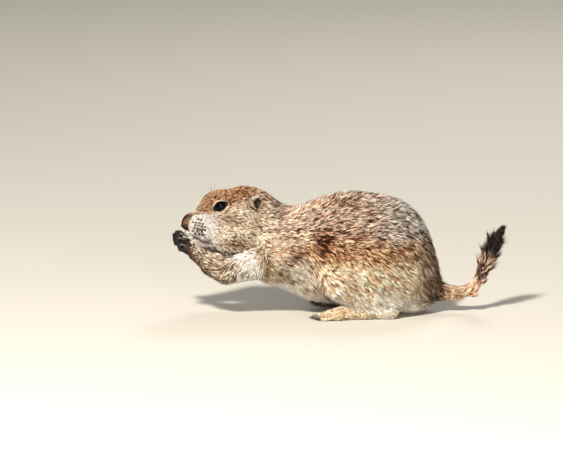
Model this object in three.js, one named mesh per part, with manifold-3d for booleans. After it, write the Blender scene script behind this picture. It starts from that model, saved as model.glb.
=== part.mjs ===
// A black-tailed prairie dog at life size, crouched on its hind feet with both hands held to its mouth.
// Millimetres, +Z up. The nose points along -X, the left side faces -Y, feet and rump rest on z = 0.
// The outlines are those of the coat's tips. Each named part is one closed solid, parted by thin cuts.
import * as THREE from "three";
import { mergeVertices } from "three/addons/utils/BufferGeometryUtils.js";
import Module from "manifold-3d";

const GAP = 0.3; // between two parts that touch
const SIDES = { left: -1, right: 1 };

// The side of a facet of each part's surface.
const FACET = { trunk: 13.4, head: 7.1, tail: 5.8, thigh: 12, shin: 7, arm: 7.6, foot: 3.9 };

// A mass is an ellipsoid: its centre, its radii, its radius below the centre where that differs, and how
// softly it runs into the masses before it.
const TORSO = {
  hips: { at: [36, 0, 52], radii: [49.8, 46, 55], under: 50, blend: 0 },
  seat: { at: [66, 0, 30], radii: [26.5, 33, 31], under: 31.4, blend: 12 },
  loin: { at: [7, 0, 57], radii: [46, 43, 53], under: 50, blend: 14 },
  ribs: { at: [-22, 0, 54], radii: [38, 38, 45], under: 42.5, blend: 14 },
  withers: { at: [-46, 0, 58], radii: [28, 31, 30], under: 31.5, blend: 14 },
  breast: { at: [-62, 0, 50], radii: [27, 24, 24], blend: 12 },
};
const NECK = { from: [-46, 0, 62], to: [-74, 0, 81], ends: [28.5, 27], blend: 12 };

// The head is modelled straight, then turned to the left about an upright axis at HEAD_PIVOT_X.
const HEAD_TURN = 8; // degrees
const HEAD_PIVOT_X = -62;
const SKULL = {
  cranium: { at: [-85, 0, 87], radii: [27, 23, 28], blend: 12 },
  brow: { at: [-106.5, 0, 90], radii: [19.5, 18.5, 22], blend: 7 },
};
const MUZZLE = { from: [-108, 0, 83.5], to: [-129, 0, 81], ends: [17.5, 10.8], blend: 7 };
const JAW = { from: [-92, 0, 66], to: [-121, 0, 65.5], ends: [14, 7], blend: 6 };
const CHEEK = { at: [-92, 12.5, 69], radii: [21, 13, 18.5], blend: 8 };
const WHISKER_PAD = { at: [-122, 6.5, 75.5], radii: [9, 6, 8.5], blend: 5 };
const NOSE = { at: [-131.5, 0, 81.5], radii: [7.5, 6.5, 8.5], blend: 4 };

const EYE_RADIUS = 6.3;
const EYE = [-106.3, 12.6, 99];
const EAR = { at: [-76.3, 20, 102.5], radii: [6.2, 4, 7.4], flare: 16, sweep: 12, lean: 10 };
const EAR_CUP = { at: [-0.8, 3.4, -0.4], radii: [4.3, 3.6, 5.2] }; // in the ear's own frame

// The tail bends up behind the rump. Each point has the coat's half-thickness there.
const TAIL = [
  { at: [86, 0, 20], radius: 9 },
  { at: [104, 0, 16.5], radius: 6.6 },
  { at: [118, 0, 19], radius: 6.2 },
  { at: [126, 0, 28], radius: 5.8 },
  { at: [131, 0, 40], radius: 7.4 },
  { at: [135, 0, 51], radius: 7.8 },
  { at: [139.5, 0, 63], radius: 6.2 },
  { at: [147.2, 0, 75.6], radius: 3 },
];
const TAIL_SPREAD = 1.2; // how many times wider than deep the tail is
const TAIL_BLEND = 3;

// The limbs are given for the right side and mirrored for the left.
const SHOULDER = [-48, 27, 53];
const ELBOW = [-99, 25, 41.5];
const WRIST = [-128.5, 12.5, 56]; // of the straight head's frame, as is the rest of the hand
const UPPER_ARM_RADII = [16, 12.5];
const FOREARM_RADII = [12.5, 6.6];
const FOREARM_BELLY = { along: 0.42, drop: 0.8, radius: 11 };
const PALM = { from: [-129, 12, 57.5], to: [-137.5, 10.4, 62.4], radius: 5.7 };
// The knuckle, joint and tip of each of the four fingers, from the outermost.
const FINGERS = [
  [[-137.8, 14.4, 60.4], [-143.2, 14.8, 61.6], [-144.8, 14.6, 65]],
  [[-138.8, 11.2, 62.4], [-144.8, 11, 65.8], [-145.6, 10.6, 70.2]],
  [[-138.6, 8.2, 64.4], [-144, 7.6, 69], [-143.8, 7.2, 73.2]],
  [[-137.6, 5.4, 65], [-142, 4.6, 69.2], [-141.8, 4.2, 72]],
];
const FINGER_RADII = [2.4, 1.9];
const HAND_CLAW = { length: 6.5, radius: 1.1, bend: 95, start: [0.9, 0.26, 0.34] };

const THIGH = { at: [35, 31, 43], radii: [41, 21, 38], under: 41, blend: 10 };
const KNEE = { at: [2, 37, 33.5], radii: [18, 14, 19], blend: 8 };
const SHANK = { from: [10, 38, 26], to: [44, 36, 10], ends: [12, 8], blend: 6 };
const HEEL = { from: [47, 34, 6.4], to: [14, 35.5, 6], ends: [7, 6.8], blend: 3 };
const SOLE = { from: [26, 35, 6], to: [6, 36, 5.8], ends: [6.7, 6.4], blend: 0 };
const BALL = { at: [3, 36.5, 4.8], radii: [11, 9.2, 6], blend: 3 };
const TOES = [
  { y: 28.8, reach: 12.6 },
  { y: 32.6, reach: 15.8 },
  { y: 36.8, reach: 17.5 },
  { y: 40.6, reach: 16 },
  { y: 44.2, reach: 12.8 },
];
const TOE_RADII = [3.2, 2.7];
const TOE_HEIGHT = 4.4; // of a toe's middle, where it leaves the foot
const TOE_DROP = 0.3; // how far a toe's tip is pressed into the floor
const TOE_SPLAY = 1.12;
const TOE_BLEND = 1.2;
const FOOT_CLAW = { length: 6.5, radius: 1.35, bend: -35, start: [-1, 0, 0.12] };

const COLOURS = {
  back: "#9a7550",
  crown: "#8a623e",
  flank: "#b8976a",
  pale: "#cfba93",
  limb: "#a98d68",
  nose: "#6a5646",
  ear: "#8a7052",
  tail: "#a97e4f",
  black: "#231a16",
  hand: "#5a4636",
  foot: "#b39a76",
  claw: "#2b2420",
  eye: "#0b0807",
};

const wasm = await Module();
wasm.setup();

const mirrored = ([x, y, z], side) => [x, y * side, z];
const between = (a, b, t) => a.map((value, i) => value + (b[i] - value) * t);
const opposite = (vector) => vector.map((value) => -value);

// A field is a function of x, y and z that is below zero inside a shape and about the distance outside it.
function ellipsoidField({ at, radii, under = radii[2] }, side = 1) {
  const [cx, cy, cz] = mirrored(at, side);
  return (x, y, z) => {
    const rz = z < cz ? under : radii[2];
    const p = [(x - cx) / radii[0], (y - cy) / radii[1], (z - cz) / rz];
    const reach = Math.hypot(...p);
    const slope = Math.hypot(p[0] / radii[0], p[1] / radii[1], p[2] / rz);
    return slope < 1e-9 ? -Math.min(...radii) : (reach * (reach - 1)) / slope;
  };
}

// A rod with round ends whose radius runs evenly from one end to the other.
function rodField({ from, to, ends }, side = 1) {
  const a = mirrored(from, side);
  const b = mirrored(to, side);
  const along = b.map((value, i) => value - a[i]);
  const length2 = along.reduce((sum, value) => sum + value * value, 0);
  return (x, y, z) => {
    const dot = (x - a[0]) * along[0] + (y - a[1]) * along[1] + (z - a[2]) * along[2];
    const t = THREE.MathUtils.clamp(dot / length2, 0, 1);
    const [qx, qy, qz] = between(a, b, t);
    return Math.hypot(x - qx, y - qy, z - qz) - (ends[0] + (ends[1] - ends[0]) * t);
  };
}

// The lesser of two depths, run into each other over the width k.
function softMin(a, b, k) {
  if (a === Infinity || k <= 0) return Math.min(a, b);
  const h = Math.max(k - Math.abs(a - b), 0) / k;
  return Math.min(a, b) - (h * h * k) / 4;
}

// The union of shapes, each {field, blend}, in order.
function joined(shapes) {
  return (x, y, z) => {
    let depth = Infinity;
    for (const { field, blend } of shapes) depth = softMin(depth, field(x, y, z), blend);
    return depth;
  };
}

const mass = (shape, side) => ({ field: ellipsoidField(shape, side), blend: shape.blend });
const rod = (shape, side) => ({ field: rodField(shape, side), blend: shape.blend });
const massesOf = (shapes) => Object.values(shapes).map((shape) => mass(shape));
const bothSides = (make, shape) => Object.values(SIDES).map((side) => make(shape, side));

const HEAD_COS = Math.cos(THREE.MathUtils.degToRad(HEAD_TURN));
const HEAD_SIN = Math.sin(THREE.MathUtils.degToRad(HEAD_TURN));

// Where a point of the straight head goes when the head turns.
function turned([x, y, z]) {
  const dx = x - HEAD_PIVOT_X;
  return [HEAD_PIVOT_X + dx * HEAD_COS - y * HEAD_SIN, dx * HEAD_SIN + y * HEAD_COS, z];
}

const turnedWay = ([x, y, z]) => [x * HEAD_COS - y * HEAD_SIN, x * HEAD_SIN + y * HEAD_COS, z];

// The field of a shape of the straight head, once the head is turned.
function turnedField(field) {
  return (x, y, z) => {
    const dx = x - HEAD_PIVOT_X;
    return field(HEAD_PIVOT_X + dx * HEAD_COS + y * HEAD_SIN, -dx * HEAD_SIN + y * HEAD_COS, z);
  };
}

const trunkField = joined([...massesOf(TORSO), rod(NECK)]);
const headField = turnedField(
  joined([
    ...massesOf(SKULL),
    rod(MUZZLE),
    rod(JAW),
    ...bothSides(mass, CHEEK),
    ...bothSides(mass, WHISKER_PAD),
    mass(NOSE),
  ]),
);

const tailRods = joined(
  TAIL.slice(1).map((point, i) =>
    rod({ from: TAIL[i].at, to: point.at, ends: [TAIL[i].radius, point.radius], blend: TAIL_BLEND }),
  ),
);
const tailField = (x, y, z) => tailRods(x, y / TAIL_SPREAD, z);

const HEAD_BLEND = 12;
const TAIL_ROOT_BLEND = 8;
const coreField = joined([
  { field: trunkField, blend: 0 },
  { field: headField, blend: HEAD_BLEND },
  { field: tailField, blend: TAIL_ROOT_BLEND },
]);

const wristAt = (side) => turned(mirrored(WRIST, side));
function armField(side) {
  const elbow = mirrored(ELBOW, side);
  const belly = between(elbow, wristAt(side), FOREARM_BELLY.along);
  belly[2] -= FOREARM_BELLY.drop;
  return joined([
    rod({ from: mirrored(SHOULDER, side), to: elbow, ends: UPPER_ARM_RADII, blend: 0 }),
    rod({ from: elbow, to: belly, ends: [FOREARM_RADII[0], FOREARM_BELLY.radius], blend: 3 }),
    rod({ from: belly, to: wristAt(side), ends: [FOREARM_BELLY.radius, FOREARM_RADII[1]], blend: 3 }),
  ]);
}
const legField = (side) =>
  joined([mass(THIGH, side), mass(KNEE, side), rod(SHANK, side), rod(HEEL, side)]);
const arms = Object.values(SIDES).map(armField);
const legs = Object.values(SIDES).map(legField);

// The shoulder runs softly into the chest, and the elbow stays clear of it.
const ELBOW_BLEND = 1;
const SHOULDER_BLEND = 11;
const BLEND_SPAN = [-91, -62]; // the X between which the one turns into the other
const armBlend = (x) => {
  const share = THREE.MathUtils.smoothstep(x, BLEND_SPAN[0], BLEND_SPAN[1]);
  return THREE.MathUtils.lerp(ELBOW_BLEND, SHOULDER_BLEND, share);
};
const LEG_BLEND = 10;

function fleshField(x, y, z) {
  let depth = coreField(x, y, z);
  for (const leg of legs) depth = softMin(depth, leg(x, y, z), LEG_BLEND);
  for (const arm of arms) depth = softMin(depth, arm(x, y, z), armBlend(x));
  return depth;
}

const footField = (side) =>
  joined([
    rod(SOLE, side),
    mass(BALL, side),
    ...TOES.map((toe) =>
      rod({ from: [0, toe.y, TOE_HEIGHT], to: toeTip(toe), ends: TOE_RADII, blend: TOE_BLEND }, side),
    ),
  ]);

// A closed surface where a field is zero, inside a box, with facets of about the given side: one point in
// each cell that the surface crosses, and one square round each grid edge that it crosses.
function surfaceOf(field, boxLow, boxHigh, facet) {
  const counts = boxLow.map((value, i) => Math.ceil((boxHigh[i] - value) / facet) + 1);
  const low = counts.map((count, i) => (boxLow[i] + boxHigh[i] - (count - 1) * facet) / 2);
  const [nx, ny, nz] = counts;
  const steps = [ny * nz, nz, 1];
  const depth = new Float64Array(nx * ny * nz).fill(1);
  const eachCell = (visit) => {
    for (let i = 0; i < nx - 1; i++)
      for (let j = 0; j < ny - 1; j++)
        for (let k = 0; k < nz - 1; k++) visit(i, j, k, (i * ny + j) * nz + k);
  };
  eachCell((i, j, k, spot) => {
    if (!i || !j || !k) return;
    const place = [i, j, k].map((step, axis) => low[axis] + step * facet);
    depth[spot] = field(...place) || 1e-6;
  });
  const corners = Array.from({ length: 8 }, (_, n) => [n & 1, (n >> 1) & 1, (n >> 2) & 1]);
  const places = [];
  const pointOf = new Map();
  eachCell((i, j, k, spot) => {
    const values = corners.map(([a, b, c]) => depth[spot + a * steps[0] + b * steps[1] + c * steps[2]]);
    const hits = [];
    for (let a = 0; a < 8; a++)
      for (const bit of [1, 2, 4]) {
        const b = a | bit;
        if (a === b || values[a] < 0 === values[b] < 0) continue;
        hits.push(between(corners[a], corners[b], values[a] / (values[a] - values[b])));
      }
    if (!hits.length) return;
    pointOf.set(spot, places.length / 3);
    [i, j, k].forEach((cell, axis) => {
      const mean = hits.reduce((sum, hit) => sum + hit[axis], 0) / hits.length;
      places.push(low[axis] + (cell + mean) * facet);
    });
  });
  const faces = [];
  eachCell((i, j, k, spot) => {
    const inside = depth[spot] < 0;
    steps.forEach((step, axis) => {
      if (inside === depth[spot + step] < 0) return;
      const u = steps[(axis + 1) % 3];
      const v = steps[(axis + 2) % 3];
      const ring = [spot - u - v, spot - v, spot, spot - u].map((cell) => pointOf.get(cell));
      if (!inside) ring.reverse();
      faces.push(ring[0], ring[1], ring[2], ring[0], ring[2], ring[3]);
    });
  });
  settle(field, places, facet / 2);
  return solidOf(new Float32Array(places), new Uint32Array(faces));
}

// Moves each point onto the field's surface, by no more than the given distance.
function settle(field, places, most) {
  const h = 0.05;
  const passes = 3;
  for (let n = 0; n < places.length; n += 3) {
    const start = new THREE.Vector3(...places.slice(n, n + 3));
    const p = start.clone();
    for (let pass = 0; pass < passes; pass++) {
      const here = field(p.x, p.y, p.z);
      const slope = new THREE.Vector3(
        field(p.x + h, p.y, p.z) - field(p.x - h, p.y, p.z),
        field(p.x, p.y + h, p.z) - field(p.x, p.y - h, p.z),
        field(p.x, p.y, p.z + h) - field(p.x, p.y, p.z - h),
      ).divideScalar(2 * h);
      p.addScaledVector(slope, -here / Math.max(slope.lengthSq(), 0.2));
    }
    const moved = p.sub(start).clampLength(0, most).add(start);
    moved.toArray(places, n);
  }
}

function solidOf(vertProperties, triVerts) {
  return new wasm.Manifold(new wasm.Mesh({ numProp: 3, vertProperties, triVerts }));
}

// A closed three.js geometry, moved by a matrix, as a solid that can be cut and joined.
function solidFrom(geometry, matrix) {
  const bare = geometry.clone();
  bare.deleteAttribute("normal");
  bare.deleteAttribute("uv");
  const merged = mergeVertices(bare, 1e-4);
  merged.applyMatrix4(matrix);
  return solidOf(merged.attributes.position.array, new Uint32Array(merged.index.array));
}

function geometryOf(solid) {
  const mesh = solid.getMesh();
  const geometry = new THREE.BufferGeometry();
  geometry.setAttribute("position", new THREE.BufferAttribute(mesh.vertProperties, mesh.numProp));
  geometry.setIndex(new THREE.BufferAttribute(mesh.triVerts, 1));
  geometry.computeVertexNormals();
  return geometry;
}

// The part of a solid on the side of a plane that its normal points to, from slack beyond the plane on.
function beyond(solid, { point, normal }, slack = GAP / 2) {
  const n = new THREE.Vector3(...normal).normalize();
  return solid.trimByPlane(n.toArray(), n.dot(new THREE.Vector3(...point)) + slack);
}

const behind = (solid, { point, normal }, slack) =>
  beyond(solid, { point, normal: opposite(normal) }, slack);

// The largest of the bodies that a cut leaves.
const largest = (solid) => solid.decompose().sort((a, b) => b.volume() - a.volume())[0];

const overFloor = (solid) => solid.trimByPlane([0, 0, 1], 0);

// An ellipsoid as a cutter, grown by the given amount.
function ballCutter({ at, radii }, side, grow = 0) {
  const matrix = new THREE.Matrix4()
    .makeTranslation(...mirrored(at, side))
    .scale(new THREE.Vector3(...radii.map((radius) => radius + grow)));
  return solidFrom(new THREE.SphereGeometry(1, 12, 8), matrix);
}

// A straight rod with round ends as a cutter, grown by the given amount.
function capsuleCutter({ from, to, radius }, side, grow = 0) {
  const a = new THREE.Vector3(...mirrored(from, side));
  const b = new THREE.Vector3(...mirrored(to, side));
  const way = b.clone().sub(a);
  const matrix = new THREE.Matrix4().compose(
    a.clone().add(b).multiplyScalar(0.5),
    new THREE.Quaternion().setFromUnitVectors(new THREE.Vector3(0, 1, 0), way.clone().normalize()),
    new THREE.Vector3(1, 1, 1),
  );
  const [capRings, sides] = radius < 4 ? [1, 5] : [2, 10];
  return solidFrom(new THREE.CapsuleGeometry(radius + grow, way.length(), capRings, sides), matrix);
}

// A box between two corners as a cutter.
function boxCutter(low, high, side) {
  const a = new THREE.Vector3(...mirrored(low, side));
  const b = new THREE.Vector3(...mirrored(high, side));
  const size = b.clone().sub(a);
  const matrix = new THREE.Matrix4().makeTranslation(...a.clone().add(b).multiplyScalar(0.5).toArray());
  return solidFrom(new THREE.BoxGeometry(Math.abs(size.x), Math.abs(size.y), Math.abs(size.z)), matrix);
}

// Where the limbs leave the body.
const UPPER_ARM_PART = { from: [-50, 33, 50], to: [-84, 28, 40], radius: 17 };
const THIGH_PART = { at: [28, 47, 38], radii: [49, 25, 40] };
const HEEL_PART = { from: [46, 40, 0], to: [-4, 42, 0], radius: 16 };
const TOE_BOX = { low: [-40, 18, -10], high: [18, 60, 13.2] };
const SHANK_CUT = { point: [10, 0, 17], normal: [0.1, 0, 1] };
const ELBOW_CUT = { point: [-89, 0, 40], normal: [-1, 0, -0.15] };

// Where the head, neck, chest, trunk, rump and tail meet. Each normal points to the part further out.
const NECK_CUT = { point: turned([-67, 0, 90]), normal: turnedWay([-1, 0, 0.12]) };
const CHEST_CUT = { point: [-48, 0, 72], normal: [-1, 0, 0.62] };
const TRUNK_CUT = { point: [-16, 0, 60], normal: [-1, 0, 0.1] };
const RUMP_CUT = { point: [40, 0, 60], normal: [1, 0, -0.12] };
const TAIL_CUT = { point: [91, 0, 20], normal: [0.95, 0, -0.3] };
const BRUSH_CUT = { point: [124.5, 0, 25], normal: [0.6, 0, 0.8] };
const TAIL_TIP_CUT = { point: [134, 0, 48.5], normal: [0.3, 0, 0.95] };
const MOUTH_CUT = { point: turned([-118, 0, 69]), normal: turnedWay([0.08, 0, -1]) };
const JAW_CUT = { point: turned([-97, 0, 60]), normal: turnedWay([-1, 0, -0.35]) };
const NOSE_CUT = { point: turned([-133, 0, 81]), normal: turnedWay([-1, 0, 0.12]) };
const WRIST_CUT = { point: turned([-129.5, 0, 57]), normal: turnedWay([-0.9, 0, 0.43]) };

function eyeball(side, grow) {
  const radii = [EYE_RADIUS, EYE_RADIUS, EYE_RADIUS];
  return ballCutter({ at: turned(mirrored(EYE, side)), radii }, 1, grow);
}

// The ear's own frame: x along the ear, y outward and z up, set on the side of the turned head.
function earFrame(side) {
  const [x, y, z] = turned(mirrored(EAR.at, side));
  const degrees = THREE.MathUtils.degToRad;
  return new THREE.Matrix4()
    .makeTranslation(x, y, z)
    .multiply(new THREE.Matrix4().makeRotationZ(degrees(HEAD_TURN - side * EAR.sweep)))
    .multiply(new THREE.Matrix4().makeRotationX(degrees(-side * EAR.flare)))
    .multiply(new THREE.Matrix4().makeRotationY(degrees(EAR.lean)));
}

function earBall(side, { at, radii }, grow = 0) {
  const matrix = earFrame(side)
    .multiply(new THREE.Matrix4().makeTranslation(...mirrored(at, side)))
    .scale(new THREE.Vector3(...radii.map((radius) => radius + grow)));
  return solidFrom(new THREE.SphereGeometry(1, 9, 6), matrix);
}

const earBody = (side, grow) => earBall(side, { at: [0, 0, 0], radii: EAR.radii }, grow);

// A claw is a cone bent along an arc: its flat base is at a point, and it turns about the given axis.
function claw({ length, radius, bend }, at, start, axis, grow = 0) {
  const [facets, rings] = [5, 2];
  const cone = new THREE.ConeGeometry(radius + grow, length + grow, facets, rings);
  cone.translate(0, (length + grow) / 2, 0);
  const place = cone.attributes.position;
  const way = new THREE.Vector3(...start).normalize();
  const hinge = new THREE.Vector3(...axis).normalize();
  const across = way.clone().cross(hinge);
  for (let i = 0; i < place.count; i++) {
    const along = place.getY(i);
    const turn = THREE.MathUtils.degToRad(bend) * (along / length);
    const centre = arcPoint(way, across, length, bend, along);
    const side = across.clone().applyAxisAngle(hinge, turn).multiplyScalar(place.getX(i));
    const p = centre.add(side).addScaledVector(hinge, place.getZ(i));
    place.setXYZ(i, p.x + at[0], p.y + at[1], p.z + at[2]);
  }
  return solidFrom(cone, new THREE.Matrix4());
}

// The point at a distance along an arc that starts along way and turns by bend degrees over its length.
function arcPoint(way, across, length, bend, along) {
  const radius = length / THREE.MathUtils.degToRad(bend);
  const turn = along / radius;
  return way
    .clone()
    .multiplyScalar(Math.sin(turn) * radius)
    .addScaledVector(across, -(1 - Math.cos(turn)) * radius);
}

// A claw starts a gap beyond the round end of its finger or toe.
const clawRoot = (end, radius, start) => {
  const way = new THREE.Vector3(...start).setLength(radius + GAP);
  return way.add(new THREE.Vector3(...end)).toArray();
};

function handClaw(side, finger, grow) {
  const tip = finger[2];
  const root = clawRoot(tip, FINGER_RADII[1], HAND_CLAW.start);
  const start = turnedWay(mirrored(HAND_CLAW.start, side));
  return claw(HAND_CLAW, turned(mirrored(root, side)), start, turnedWay([0, 1, 0]), grow);
}

function toeTip({ y, reach }) {
  const middle = BALL.at[1];
  return [-reach, middle + (y - middle) * TOE_SPLAY, TOE_RADII[1] - TOE_DROP];
}

function footClaw(side, toe, grow) {
  const root = clawRoot(toeTip(toe), TOE_RADII[1], FOOT_CLAW.start);
  return claw(FOOT_CLAW, mirrored(root, side), FOOT_CLAW.start, [0, 1, 0], grow);
}

// A hand or foot with room for the claws that pass close to its other fingers or toes.
const clearOfClaws = (solid, digits, clawOf) =>
  digits.reduce((kept, digit) => kept.subtract(clawOf(digit)), solid);

// The forearms are whole rods up to the elbow, so the body leaves room for them.
function forearmSolid(side, grow = 0) {
  const field = armField(side);
  const grown = (x, y, z) => field(x, y, z) - grow;
  return surfaceOf(grown, [-150, side < 0 ? -60 : -20, 20], [-30, side < 0 ? 20 : 60, 90], FACET.arm);
}

function limbRoom(side) {
  const forearm = beyond(forearmSolid(side, GAP), ELBOW_CUT, -GAP);
  return capsuleCutter(UPPER_ARM_PART, side, GAP)
    .add(forearm)
    .add(ballCutter(THIGH_PART, side, GAP))
    .add(capsuleCutter(HEEL_PART, side, GAP));
}

function bodyParts() {
  const whole = overFloor(surfaceOf(fleshField, [-112, -68, -12], [112, 68, 125], FACET.trunk));
  const body = Object.values(SIDES).reduce((solid, side) => solid.subtract(limbRoom(side)), whole);
  const front = beyond(body, TRUNK_CUT);
  const back = behind(body, TRUNK_CUT);
  return {
    neck: largest(behind(beyond(front, CHEST_CUT), NECK_CUT)),
    chest: largest(behind(front, CHEST_CUT)),
    trunk: largest(behind(back, RUMP_CUT)),
    rump: largest(behind(beyond(back, RUMP_CUT), TAIL_CUT)),
  };
}

function tailParts() {
  const tail = beyond(surfaceOf(coreField, [80, -20, -5], [160, 20, 90], FACET.tail), TAIL_CUT);
  const brush = beyond(tail, BRUSH_CUT);
  return {
    tail_base: largest(behind(tail, BRUSH_CUT)),
    tail_brush: largest(behind(brush, TAIL_TIP_CUT)),
    tail_tip: largest(beyond(brush, TAIL_TIP_CUT)),
  };
}

// The block of space below the mouth and before the throat, grown by the given amount.
function jawBlock(grow) {
  const room = boxCutter([-160, -60, 20], [-60, 60, 120], 1);
  return beyond(beyond(room, MOUTH_CUT, -grow), JAW_CUT, -grow);
}

function headParts() {
  let head = beyond(surfaceOf(coreField, [-152, -48, 40], [-52, 40, 125], FACET.head), NECK_CUT);
  for (const side of Object.values(SIDES)) {
    head = head.subtract(limbRoom(side)).subtract(eyeball(side, GAP)).subtract(earBody(side, GAP));
  }
  const face = behind(head, NOSE_CUT);
  return {
    head: largest(face.subtract(jawBlock(GAP / 2))),
    lower_jaw: largest(face.intersect(jawBlock(-GAP / 2))),
    nose_pad: largest(beyond(head, NOSE_CUT)),
  };
}

// A hand is a palm and four fingers of two straight lengths each.
function handSolid(side) {
  const length = (from, to, radius) => {
    const [a, b] = [from, to].map((end) => turned(mirrored(end, side)));
    return capsuleCutter({ from: a, to: b, radius }, 1);
  };
  const palm = length(PALM.from, PALM.to, PALM.radius);
  const fingers = FINGERS.flatMap(([knuckle, joint, tip]) => [
    length(knuckle, joint, FINGER_RADII[0]),
    length(joint, tip, FINGER_RADII[1]),
  ]);
  return fingers.reduce((solid, finger) => solid.add(finger), palm);
}

function armParts(side) {
  const flesh = surfaceOf(fleshField, [-125, -68, 10], [-20, 68, 90], FACET.arm);
  const upper = behind(flesh.intersect(capsuleCutter(UPPER_ARM_PART, side)), ELBOW_CUT);
  const lower = beyond(forearmSolid(side), ELBOW_CUT);
  const hand = beyond(handSolid(side), WRIST_CUT);
  return {
    upper_arm: largest(upper),
    forearm: largest(behind(lower, WRIST_CUT)),
    hand: largest(clearOfClaws(hand, FINGERS, (finger) => handClaw(side, finger, GAP))),
    claws: FINGERS.map((finger) => handClaw(side, finger)),
  };
}

function legParts(side) {
  const room = ballCutter(THIGH_PART, side).add(capsuleCutter(HEEL_PART, side));
  const thigh = surfaceOf(fleshField, [-40, -75, -12], [90, 75, 90], FACET.thigh).intersect(room);
  const shank = surfaceOf(fleshField, [-30, -65, -8], [75, 65, 40], FACET.shin).intersect(room);
  const toeRoom = boxCutter(TOE_BOX.low, TOE_BOX.high, side);
  const whole = overFloor(surfaceOf(footField(side), [-30, -60, -8], [40, 60, 20], FACET.foot));
  const foot = beyond(whole, { point: TOE_BOX.high, normal: [-1, 0, 0] }, GAP);
  return {
    thigh: largest(beyond(thigh, SHANK_CUT)),
    lower_leg: largest(overFloor(behind(shank, SHANK_CUT).subtract(toeRoom))),
    foot: largest(clearOfClaws(foot, TOES, (toe) => footClaw(side, toe, GAP))),
    claws: TOES.map((toe) => footClaw(side, toe)),
  };
}

function build() {
  const group = new THREE.Group();
  const add = (name, solid, colour, roughness = 0.9) => {
    const material = new THREE.MeshStandardMaterial({ color: COLOURS[colour], roughness, metalness: 0 });
    const mesh = new THREE.Mesh(geometryOf(solid), material);
    mesh.name = name;
    group.add(mesh);
  };
  const { neck, chest, trunk, rump } = bodyParts();
  add("neck", neck, "back");
  add("chest", chest, "flank");
  add("trunk", trunk, "back");
  add("rump", rump, "back");
  const tail = tailParts();
  add("tail_base", tail.tail_base, "tail");
  add("tail_brush", tail.tail_brush, "tail");
  add("tail_tip", tail.tail_tip, "black");
  const head = headParts();
  add("head", head.head, "crown");
  add("lower_jaw", head.lower_jaw, "pale");
  add("nose_pad", head.nose_pad, "nose", 0.5);
  for (const [name, side] of Object.entries(SIDES)) {
    add(`eye_${name}`, eyeball(side), "eye", 0.1);
    add(`ear_${name}`, earBody(side).subtract(earBall(side, EAR_CUP)), "ear");
    const arm = armParts(side);
    add(`upper_arm_${name}`, arm.upper_arm, "flank");
    add(`forearm_${name}`, arm.forearm, "limb");
    add(`hand_${name}`, arm.hand, "hand", 0.7);
    arm.claws.forEach((solid, i) => add(`hand_claw_${name}_${i + 1}`, solid, "claw", 0.4));
    const leg = legParts(side);
    add(`thigh_${name}`, leg.thigh, "flank");
    add(`lower_leg_${name}`, leg.lower_leg, "flank");
    add(`foot_${name}`, leg.foot, "foot");
    leg.claws.forEach((solid, i) => add(`foot_claw_${name}_${i + 1}`, solid, "claw", 0.4));
  }
  return group;
}

export default build();
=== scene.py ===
"""The looks of a life-size prairie dog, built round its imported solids.

Shapes are worked out in millimetres, in the solids' own frame: the nose points along -X, the left side
faces -Y and the floor is z = 0. They become metres where a mesh is made.
"""

import itertools
import logging
import math
from collections.abc import Callable, Iterable, Iterator
from contextlib import contextmanager
from dataclasses import dataclass
from enum import Enum

import bmesh
import bpy
import numpy as np
from mathutils import Matrix, Vector, kdtree


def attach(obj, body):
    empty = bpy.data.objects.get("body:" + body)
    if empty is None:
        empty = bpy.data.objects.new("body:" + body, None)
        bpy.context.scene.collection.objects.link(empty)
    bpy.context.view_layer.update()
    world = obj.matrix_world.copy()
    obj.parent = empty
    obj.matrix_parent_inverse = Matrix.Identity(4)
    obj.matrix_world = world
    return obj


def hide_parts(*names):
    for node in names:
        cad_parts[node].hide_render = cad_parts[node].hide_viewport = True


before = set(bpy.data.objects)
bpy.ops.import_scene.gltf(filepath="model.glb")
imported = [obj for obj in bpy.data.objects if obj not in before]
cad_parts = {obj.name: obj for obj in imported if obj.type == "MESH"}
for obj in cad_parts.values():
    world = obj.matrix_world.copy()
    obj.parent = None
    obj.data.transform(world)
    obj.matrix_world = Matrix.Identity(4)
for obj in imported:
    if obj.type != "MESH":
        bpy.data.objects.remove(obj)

MM = 0.001
SEED = 20
# Fields of the hair are worked out in this many parts.
PARTS = 6
# The least share of its radius that a ball of the remesh keeps when it is shrunk.
LEAST_BALL = 0.35
# How points move onto a surface: the probe's offset, the least squared slope, and the longest step.
PROBE = 0.08
LEAST_SLOPE = 0.25
LONGEST_STEP = 2.5
Triple = tuple[float, float, float]
Array = np.ndarray
Socket = bpy.types.NodeSocket
LOG = logging.getLogger("prairie_dog")


class Side(Enum):
    """The animal's two sides, each with the sign of its Y."""

    LEFT = -1
    RIGHT = 1

    @property
    def label(self) -> str:
        """The word that node names end in."""
        return self.name.lower()


def step(value: Array, low: float, high: float) -> Array:
    """Runs smoothly from 0 at low to 1 at high, in either direction."""
    t = np.clip((value - low) / (high - low), 0.0, 1.0)
    return t * t * (3.0 - 2.0 * t)


def bell(value: Array, width: float) -> Array:
    """1 where the value is 0, falling off over the width."""
    return np.exp(-((value / width) ** 2))


def soft_min(a: Array, b: Array, width: float | Array) -> Array:
    """The lesser of two depths, run into each other over a width, as the solids do it."""
    h = np.maximum(width - np.abs(a - b), 0.0) / np.maximum(width, 1e-9)
    return np.minimum(a, b) - h * h * width / 4.0


def blend(a: Array | float, b: Array | float, share: Array | float) -> Array:
    """Goes from a to b as the share goes from 0 to 1."""
    return a + (b - a) * share


def unit(vectors: Array) -> Array:
    """Vectors of length 1 with the same directions."""
    return vectors / np.maximum(np.linalg.norm(vectors, axis=-1, keepdims=True), 1e-9)


def rows(*columns: Array | float) -> Array:
    """The rows of a table whose columns are arrays, or one number each."""
    return np.stack(np.broadcast_arrays(*columns), axis=1)


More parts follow.
